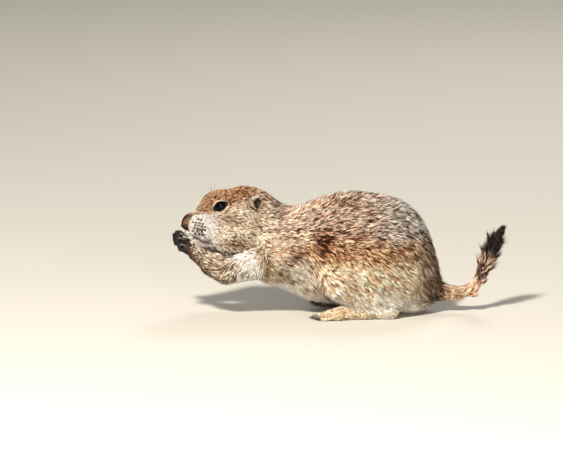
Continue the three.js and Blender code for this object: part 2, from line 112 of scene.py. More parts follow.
def mirrored(point: Triple, side: int) -> Array:
    """A point of the right side, on the given side."""
    return np.array([point[0], point[1] * side, point[2]], float)


def folded(points: Array) -> Array:
    """Points of both sides, laid onto the right one."""
    right = points.copy()
    right[:, 1] = np.abs(right[:, 1])
    return right


def nearer(field: Callable[[Array, int], Array], points: Array) -> Array:
    """The lesser of a paired shape's two depths at each point."""
    return np.minimum(*[field(points, side.value) for side in Side])


def mottle(points: Array, size: float, seed: int = 0) -> Array:
    """Smooth noise from -1 to 1.

    Args:
        points: places, in millimetres.
        size: the width of its patches.
        seed: picks one of many such patterns.

    Returns:
        One value for each place.
    """
    grid = points / size + seed * 7.31
    cell = np.floor(grid)
    part = grid - cell
    part = part * part * (3.0 - 2.0 * part)
    total = np.zeros(len(points))
    for corner in itertools.product((0, 1), repeat=3):
        at = cell + np.array(corner)
        noise = np.sin(at @ np.array([12.9898, 78.233, 37.719])) * 43758.5453
        share = np.prod(np.where(np.array(corner) == 1, part, 1.0 - part), axis=1)
        total += share * (noise - np.floor(noise))
    return total * 2.0 - 1.0


def linear(code: str) -> Array:
    """The linear colour of an sRGB hex code."""
    values = np.array([int(code[i : i + 2], 16) / 255.0 for i in (1, 3, 5)])
    return np.where(values <= 0.04045, values / 12.92, ((values + 0.055) / 1.055) ** 2.4)


# Shapes as fields: a depth below zero inside, and about the distance outside.


@dataclass(frozen=True)
class Mass:
    """An ellipsoid, with its own radius below its centre where that differs."""

    at: Triple
    radii: Triple
    blend: float = 0.0
    under: float | None = None

    def depth(self, points: Array, side: int = 1) -> Array:
        """The depth of points in the mass on one side."""
        offset = points - mirrored(self.at, side)
        radii = np.broadcast_to(np.array(self.radii, float), offset.shape).copy()
        if self.under is not None:
            radii[:, 2] = np.where(offset[:, 2] < 0, self.under, radii[:, 2])
        scaled = offset / radii
        reach = np.linalg.norm(scaled, axis=1)
        slope = np.maximum(np.linalg.norm(scaled / radii, axis=1), 1e-9)
        return reach * (reach - 1.0) / slope

    def seeds(self, side: int, shrink: float) -> Iterable[tuple[Array, Array]]:
        """The places and radii of the balls that a remesh starts from."""
        radii = np.array(self.radii, float)
        if self.under is not None:
            radii[2] = min(radii[2], self.under)
        yield mirrored(self.at, side), np.maximum(radii - shrink, radii * LEAST_BALL)


@dataclass(frozen=True)
class Rod:
    """A rod with round ends whose radius runs evenly from one end to the other."""

    start: Triple
    end: Triple
    ends: tuple[float, float]
    blend: float = 0.0

    def span(self, side: int) -> tuple[Array, Array]:
        """The two ends, on one side."""
        return mirrored(self.start, side), mirrored(self.end, side)

    def along(self, points: Array, side: int = 1) -> Array:
        """How far along the rod the nearest place is, from 0 to 1."""
        a, b = self.span(side)
        return np.clip((points - a) @ (b - a) / ((b - a) @ (b - a)), 0.0, 1.0)

    def depth(self, points: Array, side: int = 1) -> Array:
        """The depth of points in the rod on one side."""
        a, b = self.span(side)
        t = self.along(points, side)
        nearest = a + t[:, None] * (b - a)
        return np.linalg.norm(points - nearest, axis=1) - blend(self.ends[0], self.ends[1], t)

    def seeds(self, side: int, shrink: float) -> Iterable[tuple[Array, Array]]:
        """The places and radii of the balls that a remesh starts from."""
        a, b = self.span(side)
        count = max(2, math.ceil(np.linalg.norm(b - a) / (min(self.ends) * 0.5)))
        for t in np.linspace(0.0, 1.0, count):
            radius = blend(self.ends[0], self.ends[1], t)
            yield blend(a, b, t), np.full(3, max(radius - shrink, radius * LEAST_BALL))


Shape = Mass | Rod


def joined(shapes: Iterable[tuple[Shape, int]], points: Array) -> Array:
    """The depth of points in the union of shapes, each with its side, in order."""
    depth = None
    for shape, side in shapes:
        here = shape.depth(points, side)
        depth = here if depth is None else soft_min(depth, here, shape.blend)
    return depth


@dataclass(frozen=True)
class HeadTurn:
    """How the head, modelled straight, is turned to the left about an upright axis."""

    degrees: float = 8.0
    pivot_x: float = -62.0

    @property
    def sweep(self) -> Array:
        """The matrix that turns the straight head."""
        angle = math.radians(self.degrees)
        c, s = math.cos(angle), math.sin(angle)
        return np.array([[c, -s, 0.0], [s, c, 0.0], [0.0, 0.0, 1.0]])

    @property
    def pivot(self) -> Array:
        """The place that the head turns about."""
        return np.array([self.pivot_x, 0.0, 0.0])

    def turned(self, points: Array) -> Array:
        """Points of the straight head, once it is turned."""
        return (points - self.pivot) @ self.sweep.T + self.pivot

    def turned_point(self, point: Array) -> Array:
        """One point of the straight head, once it is turned."""
        return self.turned(point[None])[0]

    def straight(self, points: Array) -> Array:
        """Points of the turned head, back in the straight head's frame."""
        return (points - self.pivot) @ self.sweep + self.pivot


TURN = HeadTurn()


@dataclass(frozen=True)
class Torso:
    """The trunk and neck."""

    hips: Mass = Mass((36, 0, 52), (49.8, 46, 55), under=50)
    seat: Mass = Mass((66, 0, 30), (26.5, 33, 31), 12, 31.4)
    loin: Mass = Mass((7, 0, 57), (46, 43, 53), 14, 50)
    ribs: Mass = Mass((-22, 0, 54), (38, 38, 45), 14, 42.5)
    withers: Mass = Mass((-46, 0, 58), (28, 31, 30), 14, 31.5)
    breast: Mass = Mass((-62, 0, 50), (27, 24, 24), 12)
    neck: Rod = Rod((-46, 0, 62), (-74, 0, 81), (28.5, 27), 12)
    back_depth: float = 6.5
    belly_depth: float = 4.5
    nape_depth: float = 3.0

    def shapes(self) -> list[tuple[Shape, int]]:
        """The masses in the order in which they are joined."""
        masses = (self.hips, self.seat, self.loin, self.ribs, self.withers, self.breast, self.neck)
        return [(shape, 1) for shape in masses]

    def coat(self, points: Array) -> Array:
        """The depth of points in the coated torso."""
        return joined(self.shapes(), points)

    def coat_depth(self, points: Array) -> Array:
        """How thick the coat is at each place."""
        x, z = points[:, 0], points[:, 2]
        depth = blend(self.belly_depth, self.back_depth, step(z, 12, 40))
        return blend(depth, self.nape_depth, step(x, -44, -80))


@dataclass(frozen=True)
class Eye:
    """An eyeball in its lids, of the straight head's right side."""

    at: Triple = (-106.3, 12.6, 99.0)
    radius: float = 6.3
    lid_radius: float = 7.5
    out: Triple = (-0.28, 0.93, 0.16)
    tilt: float = 24.0
    half_length: float = 6.3
    half_height: float = 3.9
    floor_radius: float = 5.4

    def axes(self) -> Array:
        """Rows: forward along the slit, up across it, and out of the head."""
        out = np.array(self.out) / np.linalg.norm(self.out)
        ahead = np.array([-1.0, 0.0, 0.0])
        ahead = unit(ahead - (ahead @ out) * out)
        up = np.array([0.0, 0.0, 1.0])
        up = unit(up - (up @ out) * out - (up @ ahead) * ahead)
        c, s = math.cos(math.radians(self.tilt)), math.sin(math.radians(self.tilt))
        return np.array([c * ahead - s * up, s * ahead + c * up, out])

    def local(self, head_points: Array) -> Array:
        """Points in the eye's own frame, with both sides folded onto the right one."""
        return (folded(head_points) - np.array(self.at)) @ self.axes().T

    def slit(self, local: Array) -> Array:
        """The distance from the lids' opening, seen along its axis: below zero within it."""
        rise, run = self.half_height, self.half_length
        radius = (rise * rise + run * run) / (2.0 * rise)
        upper = np.hypot(local[:, 0], local[:, 1] + radius - rise) - radius
        lower = np.hypot(local[:, 0], local[:, 1] - radius + rise) - radius
        return np.maximum(upper, lower)

    def lids(self, head_points: Array, skin: Array) -> Array:
        """The skin with lids over the eyeball, and the opening between them."""
        local = self.local(head_points)
        reach = np.linalg.norm(local, axis=1)
        covered = soft_min(skin, reach - self.lid_radius, 3.0)
        opening = np.maximum(np.maximum(self.slit(local), 1.0 - local[:, 2]), self.floor_radius - reach)
        return np.maximum(covered, -opening)


@dataclass(frozen=True)
class Ear:
    """A low rounded ear with an open cup, in its own frame on the straight head's right side."""

    at: Triple = (-76.3, 20.0, 102.5)
    radii: Triple = (6.2, 4.0, 7.4)
    sweep: float = 12.0
    flare: float = 16.0
    lean: float = 10.0
    cup: Mass = Mass((0.5, 3.6, 1.4), (4.2, 3.9, 4.6))
    canal: Mass = Mass((0.6, 1.2, -1.4), (1.8, 3.2, 2.2))
    tragus: Mass = Mass((-2.4, 2.4, -3.4), (2.4, 1.7, 2.7), 1.0)

    def frame(self) -> Array:
        """The columns of the ear's own axes."""
        turn = Matrix.Rotation(math.radians(-self.sweep), 3, "Z")
        flare = Matrix.Rotation(math.radians(-self.flare), 3, "X")
        lean = Matrix.Rotation(math.radians(self.lean), 3, "Y")
        return np.array(turn @ flare @ lean)

    def local(self, head_points: Array) -> Array:
        """Points in the ear's own frame, with both sides folded onto the right one."""
        return (folded(head_points) - np.array(self.at)) @ self.frame()

    def hollow(self, local: Array) -> Array:
        """The depth of points in the ear's cup."""
        cup = soft_min(self.cup.depth(local), self.canal.depth(local), 1.0)
        return np.maximum(cup, -self.tragus.depth(local))

    def depth(self, head_points: Array) -> Array:
        """The depth of points in the ear's flesh."""
        local = self.local(head_points)
        body = Mass((0, 0, 0), self.radii).depth(local) + 0.3
        return np.maximum(body, -self.hollow(local))


@dataclass(frozen=True)
class Head:
    """The straight head: its masses, the relief of its face and the depth of its coat."""

    cranium: Mass = Mass((-85, 0, 87), (27, 23, 28))
    brow: Mass = Mass((-106.5, 0, 90), (19.5, 18.5, 22), 7)
    muzzle: Rod = Rod((-108, 0, 83.5), (-129, 0, 81), (17.5, 10.8), 7)
    jaw: Rod = Rod((-92, 0, 66), (-121, 0, 65.5), (14, 7), 6)
    cheek: Mass = Mass((-92, 12.5, 69), (21, 13, 18.5), 8)
    whisker_pad: Mass = Mass((-122, 6.5, 75.5), (9, 6, 8.5), 5)
    lip: Mass = Mass((-125.5, 0, 73.5), (9.0, 6.5, 6.5), 4)
    chin: Mass = Mass((-121.0, 0, 66.0), (10.0, 7.5, 6.5), 4)
    nose: Mass = Mass((-131.5, 0, 81.5), (7.5, 6.5, 8.5), 4)
    eye: Eye = Eye()
    ear: Ear = Ear()
    crown_depth: float = 1.5
    cheek_depth: float = 1.9
    muzzle_depth: float = 0.55
    mouth_front: tuple[float, float] = (-133.5, 71.2)
    mouth_corner: tuple[float, float] = (-117.5, 65.6)
    nostril: Rod = Rod((-138.6, 2.0, 78.4), (-136.0, 4.0, 80.4), (0.0, 0.0))
    nose_edge: float = -134.0
    nose_pinch: float = 0.7

    def shapes(self) -> list[tuple[Shape, int]]:
        """The masses in the order in which they are joined."""
        sides = [side.value for side in Side]
        return [
            (self.cranium, 1),
            (self.brow, 1),
            (self.muzzle, 1),
            (self.jaw, 1),
            *((self.cheek, side) for side in sides),
            *((self.whisker_pad, side) for side in sides),
            (self.lip, 1),
            (self.chin, 1),
            (self.nose, 1),
        ]

    def coat(self, points: Array) -> Array:
        """The depth of points in the coated head, its muzzle pinched towards the nose."""
        head_points = TURN.straight(points)
        pinch = 1.0 + self.nose_pinch * step(head_points[:, 0], -121, -136)
        head_points[:, 1] *= pinch
        return joined(self.shapes(), head_points) / np.sqrt(pinch)

    def coat_depth(self, head_points: Array) -> Array:
        """How thick the coat is at each place of the straight head."""
        x, z = head_points[:, 0], head_points[:, 2]
        depth = blend(self.cheek_depth, self.crown_depth, step(z, 70, 95))
        depth = blend(depth, self.muzzle_depth, step(x, -104, -122))
        return depth * (1.0 - 1.2 * step(x, self.nose_edge + 1.5, self.nose_edge - 1.5))

    def mouth_line(self, head_points: Array) -> tuple[Array, Array]:
        """The height above the line between the lips, and how much of a line there is."""
        (x0, z0), (x1, z1) = self.mouth_front, self.mouth_corner
        t = (head_points[:, 0] - x0) / (x1 - x0)
        line = blend(z0, z1, t) + 0.9 * np.sin(np.clip(t, 0, 1) * math.pi * 2.0)
        here = step(t, -0.12, 0.02) * (1.0 - step(t, 0.92, 1.15))
        return head_points[:, 2] - line, here

    def relief(self, head_points: Array) -> Array:
        """How far the face's folds go in, below zero where they swell out."""
        x, z = head_points[:, 0], head_points[:, 2]
        across = np.abs(head_points[:, 1])
        above, here = self.mouth_line(head_points)
        mouth = 1.7 * bell(above, 0.75) - 0.7 * bell(above - 2.6, 1.7) - 0.6 * bell(above + 2.4, 1.5)
        cleft = 1.0 * bell(across, 0.8) * step(z, 69, 72) * (1 - step(z, 77, 80)) * step(x, -130, -133)
        apart = self.nostril.depth(folded(head_points))
        nostril = 2.2 * bell(apart, 1.25) - 0.5 * bell(apart - 2.3, 0.9) * step(x, -133, -135)
        groove = 0.45 * bell(across, 0.6) * step(x, -135, -137) * step(z, 88, 84)
        return mouth * here + cleft + nostril + groove

    def bare_nose(self, head_points: Array) -> Array:
        """1 on the nose's bald skin."""
        edge = self.nose_edge - 0.6 + 0.045 * (head_points[:, 2] - 80.0) ** 2
        above, _ = self.mouth_line(head_points)
        front = step(head_points[:, 0], edge + 0.4, edge - 0.4) * step(head_points[:, 2], 91.0, 89.5)
        return front * step(above, 3.6, 5.2) * step(head_points[:, 2], 68.0, 70.0)


@dataclass(frozen=True)
class Tail:
    """The tail's coat as a row of rods, over a much thinner core."""

    places: tuple[Triple, ...] = (
        (86, 0, 20),
        (104, 0, 16.5),
        (118, 0, 19),
        (126, 0, 28),
        (131, 0, 40),
        (135, 0, 51),
        (139.5, 0, 63),
        (147.2, 0, 75.6),
    )
    radii: tuple[float, ...] = (9, 6.6, 6.2, 5.8, 7.4, 7.8, 6.2, 3)
    core_radii: tuple[float, ...] = (7.5, 4.6, 3.8, 3.2, 2.9, 2.6, 2.2, 1.2)
    spread: float = 1.2
    rod_blend: float = 3.0

    def rods(self, radii: tuple[float, ...]) -> list[Rod]:
        """One rod between each place and the next."""
        spans = zip(self.places, self.places[1:], radii, radii[1:])
        return [Rod(a, b, (ra, rb), self.rod_blend) for a, b, ra, rb in spans]

    def squeezed(self, points: Array) -> Array:
        """Points with the tail's extra width taken out."""
        return points / np.array([1.0, self.spread, 1.0])

    def coat(self, points: Array) -> Array:
        """The depth of points in the coated tail."""
        return joined([(rod, 1) for rod in self.rods(self.radii)], self.squeezed(points))

    def skin(self, points: Array) -> Array:
        """The depth of points in the tail's core."""
        return joined([(rod, 1) for rod in self.rods(self.core_radii)], self.squeezed(points))

    def lie(self, points: Array) -> tuple[Array, Array]:
        """The way along the nearest stretch of the tail, and how far along the tail it is, 0 to 1."""
        rods = self.rods(self.core_radii)
        depths = np.array([rod.depth(points) for rod in rods])
        nearest = depths.argmin(axis=0)
        ways = unit(np.array([np.subtract(rod.end, rod.start) for rod in rods]))
        shares = np.array([rod.along(points) for rod in rods])[nearest, np.arange(len(points))]
        following = ways[np.minimum(nearest + 1, len(rods) - 1)]
        return unit(blend(ways[nearest], following, shares[:, None])), (nearest + shares) / len(rods)


@dataclass(frozen=True)
class Arm:
    """An upper arm and forearm, of the right side."""

    shoulder: Triple = (-48, 27, 53)
    elbow: Triple = (-99, 25, 41.5)
    wrist: Triple = (-128.5, 12.5, 56)
    upper_radii: tuple[float, float] = (16, 12.5)
    forearm_radii: tuple[float, float, float] = (12.5, 11, 6.6)
    belly_along: float = 0.42
    belly_drop: float = 0.8
    rod_blend: float = 3.0
    elbow_blend: float = 1.0
    shoulder_blend: float = 11.0
    blend_span: tuple[float, float] = (-91, -62)
    shoulder_depth: float = 4.6
    wrist_depth: float = 0.9

    def rods(self, side: int) -> list[Rod]:
        """The arm's rods on one side, from the shoulder to the wrist."""
        elbow = mirrored(self.elbow, side)
        wrist = TURN.turned_point(mirrored(self.wrist, side))
        belly = blend(elbow, wrist, self.belly_along) - np.array([0.0, 0.0, self.belly_drop])
        first, middle, last = self.forearm_radii
        return [
            Rod(tuple(mirrored(self.shoulder, side)), tuple(elbow), self.upper_radii),
            Rod(tuple(elbow), tuple(belly), (first, middle), self.rod_blend),
            Rod(tuple(belly), tuple(wrist), (middle, last), self.rod_blend),
        ]

    def coat(self, points: Array, side: int) -> Array:
        """The depth of points in one coated arm."""
        return joined([(rod, 1) for rod in self.rods(side)], points)

    def width_of_blend(self, points: Array) -> Array:
        """How softly the arm runs into the chest at each place."""
        share = step(points[:, 0], *self.blend_span)
        return blend(self.elbow_blend, self.shoulder_blend, share)

    def coat_depth(self, points: Array) -> Array:
        """How thick the coat is at each place."""
        return blend(self.shoulder_depth, self.wrist_depth, step(points[:, 0], -78, -128))


@dataclass(frozen=True)
class Hand:
    """A palm and four curled fingers, of the straight head's right side."""

    palm: Rod = Rod((-129, 12, 57.5), (-137.5, 10.4, 62.4), (5.6, 5.4))
    fingers: tuple[tuple[Triple, Triple, Triple], ...] = (
        ((-137.8, 14.4, 60.4), (-143.2, 14.8, 61.6), (-144.8, 14.6, 65)),
        ((-138.8, 11.2, 62.4), (-144.8, 11, 65.8), (-145.6, 10.6, 70.2)),
        ((-138.6, 8.2, 64.4), (-144, 7.6, 69), (-143.8, 7.2, 73.2)),
        ((-137.6, 5.4, 65), (-142, 4.6, 69.2), (-141.8, 4.2, 72)),
    )
    radii: tuple[float, float] = (2.2, 1.7)
    claw_start: Triple = (0.9, 0.26, 0.34)

    def shapes(self) -> list[Shape]:
        """The palm and the two lengths of each finger, with a pad at each tip."""
        shapes: list[Shape] = [self.palm]
        knuckle_radius, tip_radius = self.radii
        for knuckle, joint, tip in self.fingers:
            shapes.append(Rod(knuckle, joint, (knuckle_radius, knuckle_radius * 0.9), 0.7))
            shapes.append(Rod(joint, tip, (knuckle_radius * 0.92, tip_radius), 0.5))
        return shapes

    def depth(self, points: Array, side: int) -> Array:
        """The depth of points in one hand."""
        head_points = TURN.straight(points)
        return joined([(shape, side) for shape in self.shapes()], head_points)


@dataclass(frozen=True)
class Leg:
    """A thigh, knee, shank and heel, of the right side."""

    thigh: Mass = Mass((35, 31, 43), (41, 21, 38), under=41)
    knee: Mass = Mass((2, 37, 33.5), (18, 14, 19), 8)
    shank: Rod = Rod((10, 38, 26), (44, 36, 10), (12, 8), 6)
    heel: Rod = Rod((47, 34, 6.4), (14, 35.5, 6), (7, 6.8), 3)
    leg_blend: float = 10.0
    thigh_depth: float = 5.5
    heel_depth: float = 1.6

    def coat(self, points: Array, side: int) -> Array:
        """The depth of points in one coated leg."""
        return joined([(s, side) for s in (self.thigh, self.knee, self.shank, self.heel)], points)

    def coat_depth(self, points: Array) -> Array:
        """How thick the coat is at each place."""
        return blend(self.heel_depth, self.thigh_depth, step(points[:, 2], 5, 26))


@dataclass(frozen=True)
class Foot:
    """A long sole with five toes, of the right side."""

    sole: Rod = Rod((26, 35, 6), (6, 36, 5.8), (6.2, 5.9))
    ball: Mass = Mass((3, 36.5, 4.8), (10.5, 8.7, 5.4), 3)
    toes: tuple[tuple[float, float], ...] = (
        (28.8, 12.6),
        (32.6, 15.8),
        (36.8, 17.5),
        (40.6, 16),
        (44.2, 12.8),
    )
    toe_radii: tuple[float, float] = (2.7, 2.2)
    toe_height: float = 4.0
    tip_height: float = 2.3
    splay: float = 1.12

    def tip(self, toe: tuple[float, float]) -> Triple:
        """The middle of a toe's round end."""
        y, reach = toe
        middle = self.ball.at[1]
        return (-reach, middle + (y - middle) * self.splay, self.tip_height)

    def shapes(self) -> list[Shape]:
        """The sole, the ball and each toe with a knuckle."""
        shapes: list[Shape] = [self.sole, self.ball]
        for toe in self.toes:
            end = self.tip(toe)
            knuckle = (-toe[1] * 0.45, blend(toe[0], end[1], 0.45), self.toe_height + 0.5)
            shapes.append(Rod((0.0, toe[0], self.toe_height), knuckle, self.toe_radii, 1.2))
            shapes.append(Rod(knuckle, end, (2.5, self.toe_radii[1]), 0.7))
        return shapes

    def depth(self, points: Array, side: int) -> Array:
        """The depth of points in one foot."""
        return joined([(shape, side) for shape in self.shapes()], points)


class Body:
    """The whole animal as two fields: the outline of its coat's tips, and its skin."""

    head_blend = 12.0
    tail_blend = 8.0

    def __init__(self) -> None:
        """Takes every sub-assembly at its own sizes."""
        self.torso = Torso()
        self.head = Head()
        self.tail = Tail()
        self.arm = Arm()
        self.hand = Hand()
        self.leg = Leg()
        self.foot = Foot()

    def coat(self, points: Array) -> Array:
        """The depth of points below the tips of the coat."""
        depth = soft_min(self.torso.coat(points), self.head.coat(points), self.head_blend)
        depth = soft_min(depth, self.tail.coat(points), self.tail_blend)
        for side in Side:
            depth = soft_min(depth, self.leg.coat(points, side.value), self.leg.leg_blend)
        for side in Side:
            width = self.arm.width_of_blend(points)
            depth = soft_min(depth, self.arm.coat(points, side.value), width)
        for side in Side:
            depth = np.minimum(depth, self.foot.depth(points, side.value) - 0.5)
            depth = np.minimum(depth, self.hand.depth(points, side.value) - 0.3)
        return depth

    def skin(self, points: Array) -> Array:
        """The depth of points below the skin."""
        head_points = TURN.straight(points)
        head = self.head.coat(points) + self.head.coat_depth(head_points)
        torso = self.torso.coat(points) + self.torso.coat_depth(points)
        depth = soft_min(torso, head, self.head_blend)
        for side in Side:
            leg = self.leg.coat(points, side.value) + self.leg.coat_depth(points)
            depth = soft_min(depth, leg, self.leg.leg_blend)
        for side in Side:
            arm = self.arm.coat(points, side.value) + self.arm.coat_depth(points)
            depth = soft_min(depth, arm, self.arm.width_of_blend(points))
        depth = soft_min(depth, self.tail.skin(points), 4.0)
        for side in Side:
            depth = soft_min(depth, self.foot.depth(points, side.value), 1.5)
            depth = soft_min(depth, self.hand.depth(points, side.value), 1.5)
        depth = self.head.eye.lids(head_points, depth)
        ear_cut = np.maximum(depth, -self.head.ear.hollow(self.head.ear.local(head_points)))
        depth = soft_min(ear_cut, self.head.ear.depth(head_points), 1.6)
        near_face = step(head_points[:, 0], -108, -114)
        return depth + self.head.relief(head_points) * near_face

    def seeds(self) -> Iterable[tuple[Array, Array, bool]]:
        """The balls that the skin's remesh starts from: place, radii, and whether of the head's frame."""
        torso, head, arm, leg = self.torso, self.head, self.arm, self.leg
        groups: list[tuple[list[Shape], float, bool, tuple[int, ...]]] = [
            ([shape for shape, _ in torso.shapes()], torso.back_depth, False, (1,)),
            ([head.cranium, head.brow, head.muzzle, head.jaw, head.nose], 1.5, True, (1,)),
            ([head.cheek, head.whisker_pad], 1.5, True, (-1, 1)),
            ([Mass(head.ear.at, (5.5, 4.0, 6.5))], 0.0, True, (-1, 1)),
            ([Mass(head.eye.at, (7.5, 7.5, 7.5))], 0.0, True, (-1, 1)),
            (list(self.tail.rods(self.tail.core_radii)), 0.0, False, (1,)),
            ([leg.thigh, leg.knee, leg.shank], leg.thigh_depth, False, (-1, 1)),
            ([leg.heel, *self.foot.shapes()], 0.3, False, (-1, 1)),
            (self.hand.shapes(), 0.0, True, (-1, 1)),
            ([arm.rods(1)[0]], arm.shoulder_depth, False, (-1, 1)),
        ]
        for shapes, shrink, of_head, sides in groups:
            for shape, side in itertools.product(shapes, sides):
                for at, radii in shape.seeds(side, shrink):
                    yield at, radii, of_head
        for side in Side:
            for rod in arm.rods(side.value)[1:]:
                for at, radii in rod.seeds(1, 2.5):
                    yield at, radii, False


def in_chunks(field: Callable[[Array], Array], points: Array, size: int = 60000) -> Array:
    """A field's values at many points, worked out a chunk at a time."""
    parts = [field(points[i : i + size]) for i in range(0, len(points), size)]
    return np.concatenate(parts) if parts else np.zeros(0)


def in_parts(field: Callable[..., Array], *arrays: Array) -> Array:
    """A field's values over the rows of one or more long arrays, worked out a part at a time."""
    parts = zip(*(np.array_split(array, PARTS) for array in arrays))
    return np.concatenate([field(*part) for part in parts])


def slope_of(field: Callable[[Array], Array], points: Array, here: Array) -> Array:
    """The way in which a field grows at each point, given its values there."""
    columns = [(in_chunks(field, points + offset) - here) / PROBE for offset in np.eye(3) * PROBE]
    return np.stack(columns, axis=1)


def settle(field: Callable[[Array], Array], points: Array, level: Array | float, passes: int) -> Array:
    """Moves points along a field's slope until they lie at a level of it.

    Args:
        field: the depth of points.
        points: where they start.
        level: the depth to end at, for all points or for each.
        passes: how many steps to take.

    Returns:
        The moved points.
    """
    moved = points.copy()
    for _ in range(passes):
        here = in_chunks(field, moved)
        slope = slope_of(field, moved, here)
        square = np.maximum((slope * slope).sum(axis=1), LEAST_SLOPE)
        shift = ((level - here) / square)[:, None] * slope
        length = np.linalg.norm(shift, axis=1, keepdims=True)
        moved += shift * np.minimum(1.0, LONGEST_STEP / np.maximum(length, 1e-9))
    return moved


class CoatGrid:
    """The coat's outline worked out once on a grid, for the many places that the hair asks about."""

    low = np.array([-162.0, -68.0, -12.0])
    high = np.array([164.0, 68.0, 132.0])
    pitch = 2.4

    def __init__(self, body: Body) -> None:
        """Works out the depth and its slope at every crossing of the grid."""
        axes = [np.arange(a, b, self.pitch) for a, b in zip(self.low, self.high)]
        places = np.stack(np.meshgrid(*axes, indexing="ij"), axis=-1)
        depth = in_chunks(body.coat, places.reshape(-1, 3)).reshape(places.shape[:3])
        self.table = np.stack([depth, *np.gradient(depth, self.pitch)], axis=-1)
        self.top = np.array(places.shape[:3]) - 1.001

    def look_up(self, points: Array) -> Array:
        """The depth and its slope at each point, four values a row."""
        at = np.clip((points - self.low) / self.pitch, 0.0, self.top)
        cell = at.astype(int)
        part = at - cell
        total = np.zeros((len(points), 4))
        for corner in itertools.product((0, 1), repeat=3):
            share = np.prod(np.where(np.array(corner) == 1, part, 1.0 - part), axis=1)
            x, y, z = (cell + np.array(corner)).T
            total += self.table[x, y, z] * share[:, None]
        return total

    def settle(self, points: Array, level: Array) -> Array:
        """Moves points along the slope until they lie at a level of the depth."""
        moved = points.copy()
        for _ in range(2):
            values = self.look_up(moved)
            slope = values[:, 1:]
            square = np.maximum((slope * slope).sum(axis=1), LEAST_SLOPE)
            moved += ((level - values[:, 0]) / square)[:, None] * slope
        return moved


def vertices_of(mesh: bpy.types.Mesh) -> Array:
    """A mesh's vertices, in millimetres."""
    values = np.empty(len(mesh.vertices) * 3, np.float32)
    mesh.vertices.foreach_get("co", values)
    return values.reshape(-1, 3).astype(float) / MM


def set_vertices(mesh: bpy.types.Mesh, points: Array) -> None:
    """Moves a mesh's vertices to places given in millimetres."""
    mesh.vertices.foreach_set("co", (points * MM).astype(np.float32).ravel())
    mesh.update()


def triangle_mesh(name: str, vertices: Array, triangles: Array) -> bpy.types.Mesh:
    """A mesh from arrays of vertices, in millimetres, and of their indices, three a face."""
    mesh = bpy.data.meshes.new(name)
    mesh.vertices.add(vertices.size // 3)
    mesh.vertices.foreach_set("co", (vertices * MM).astype(np.float32).ravel())
    mesh.loops.add(triangles.size)
    mesh.loops.foreach_set("vertex_index", triangles.astype(np.int32).ravel())
    mesh.polygons.add(triangles.size // 3)
    mesh.polygons.foreach_set("loop_start", np.arange(0, triangles.size, 3, dtype=np.int32))
    mesh.update(calc_edges=True)
    return mesh


def paint(mesh: bpy.types.Mesh, name: str, colours: Array) -> None:
    """Stores a linear colour, and an optional fourth value, at each vertex."""
    if colours.shape[1] == 3:
        colours = np.concatenate([colours, np.ones((len(colours), 1))], axis=1)
    layer = mesh.color_attributes.new(name, "FLOAT_COLOR", "POINT")
    layer.data.foreach_set("color", np.clip(colours, 0, 1).astype(np.float32).ravel())


def new_object(name: str, mesh: bpy.types.Mesh) -> bpy.types.Object:
    """Puts a mesh into the scene."""
    piece = bpy.data.objects.new(name, mesh)
    bpy.context.scene.collection.objects.link(piece)
    return piece


def finished(shape: bmesh.types.BMesh, name: str) -> bpy.types.Object:
    """Makes a smooth piece of the root's body out of a bmesh, which it frees."""
    mesh = bpy.data.meshes.new(name)
    shape.to_mesh(mesh)
    shape.free()
    mesh.shade_smooth()
    piece = new_object(name, mesh)
    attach(piece, "root")
    return piece


@contextmanager
def editing(mesh: bpy.types.Mesh) -> Iterator[bmesh.types.BMesh]:
    """A bmesh of a mesh, which the mesh takes over at the end of the block."""
    shape = bmesh.new()
    shape.from_mesh(mesh)
    yield shape
    shape.to_mesh(mesh)
    shape.free()


def ring_of(shape: bmesh.types.BMesh, places: list[Array]) -> tuple[list, list]:
    """Adds a ring of vertices, given in millimetres, and the edges that join them."""
    loop = [shape.verts.new(Vector(place) * MM) for place in places]
    return loop, [shape.edges.new((loop[i - 1], loop[i])) for i in range(len(loop))]


def turns(count: int) -> list[float]:
    """Evenly spaced angles of a whole turn, in radians."""
    return [2.0 * math.pi * i / count for i in range(count)]


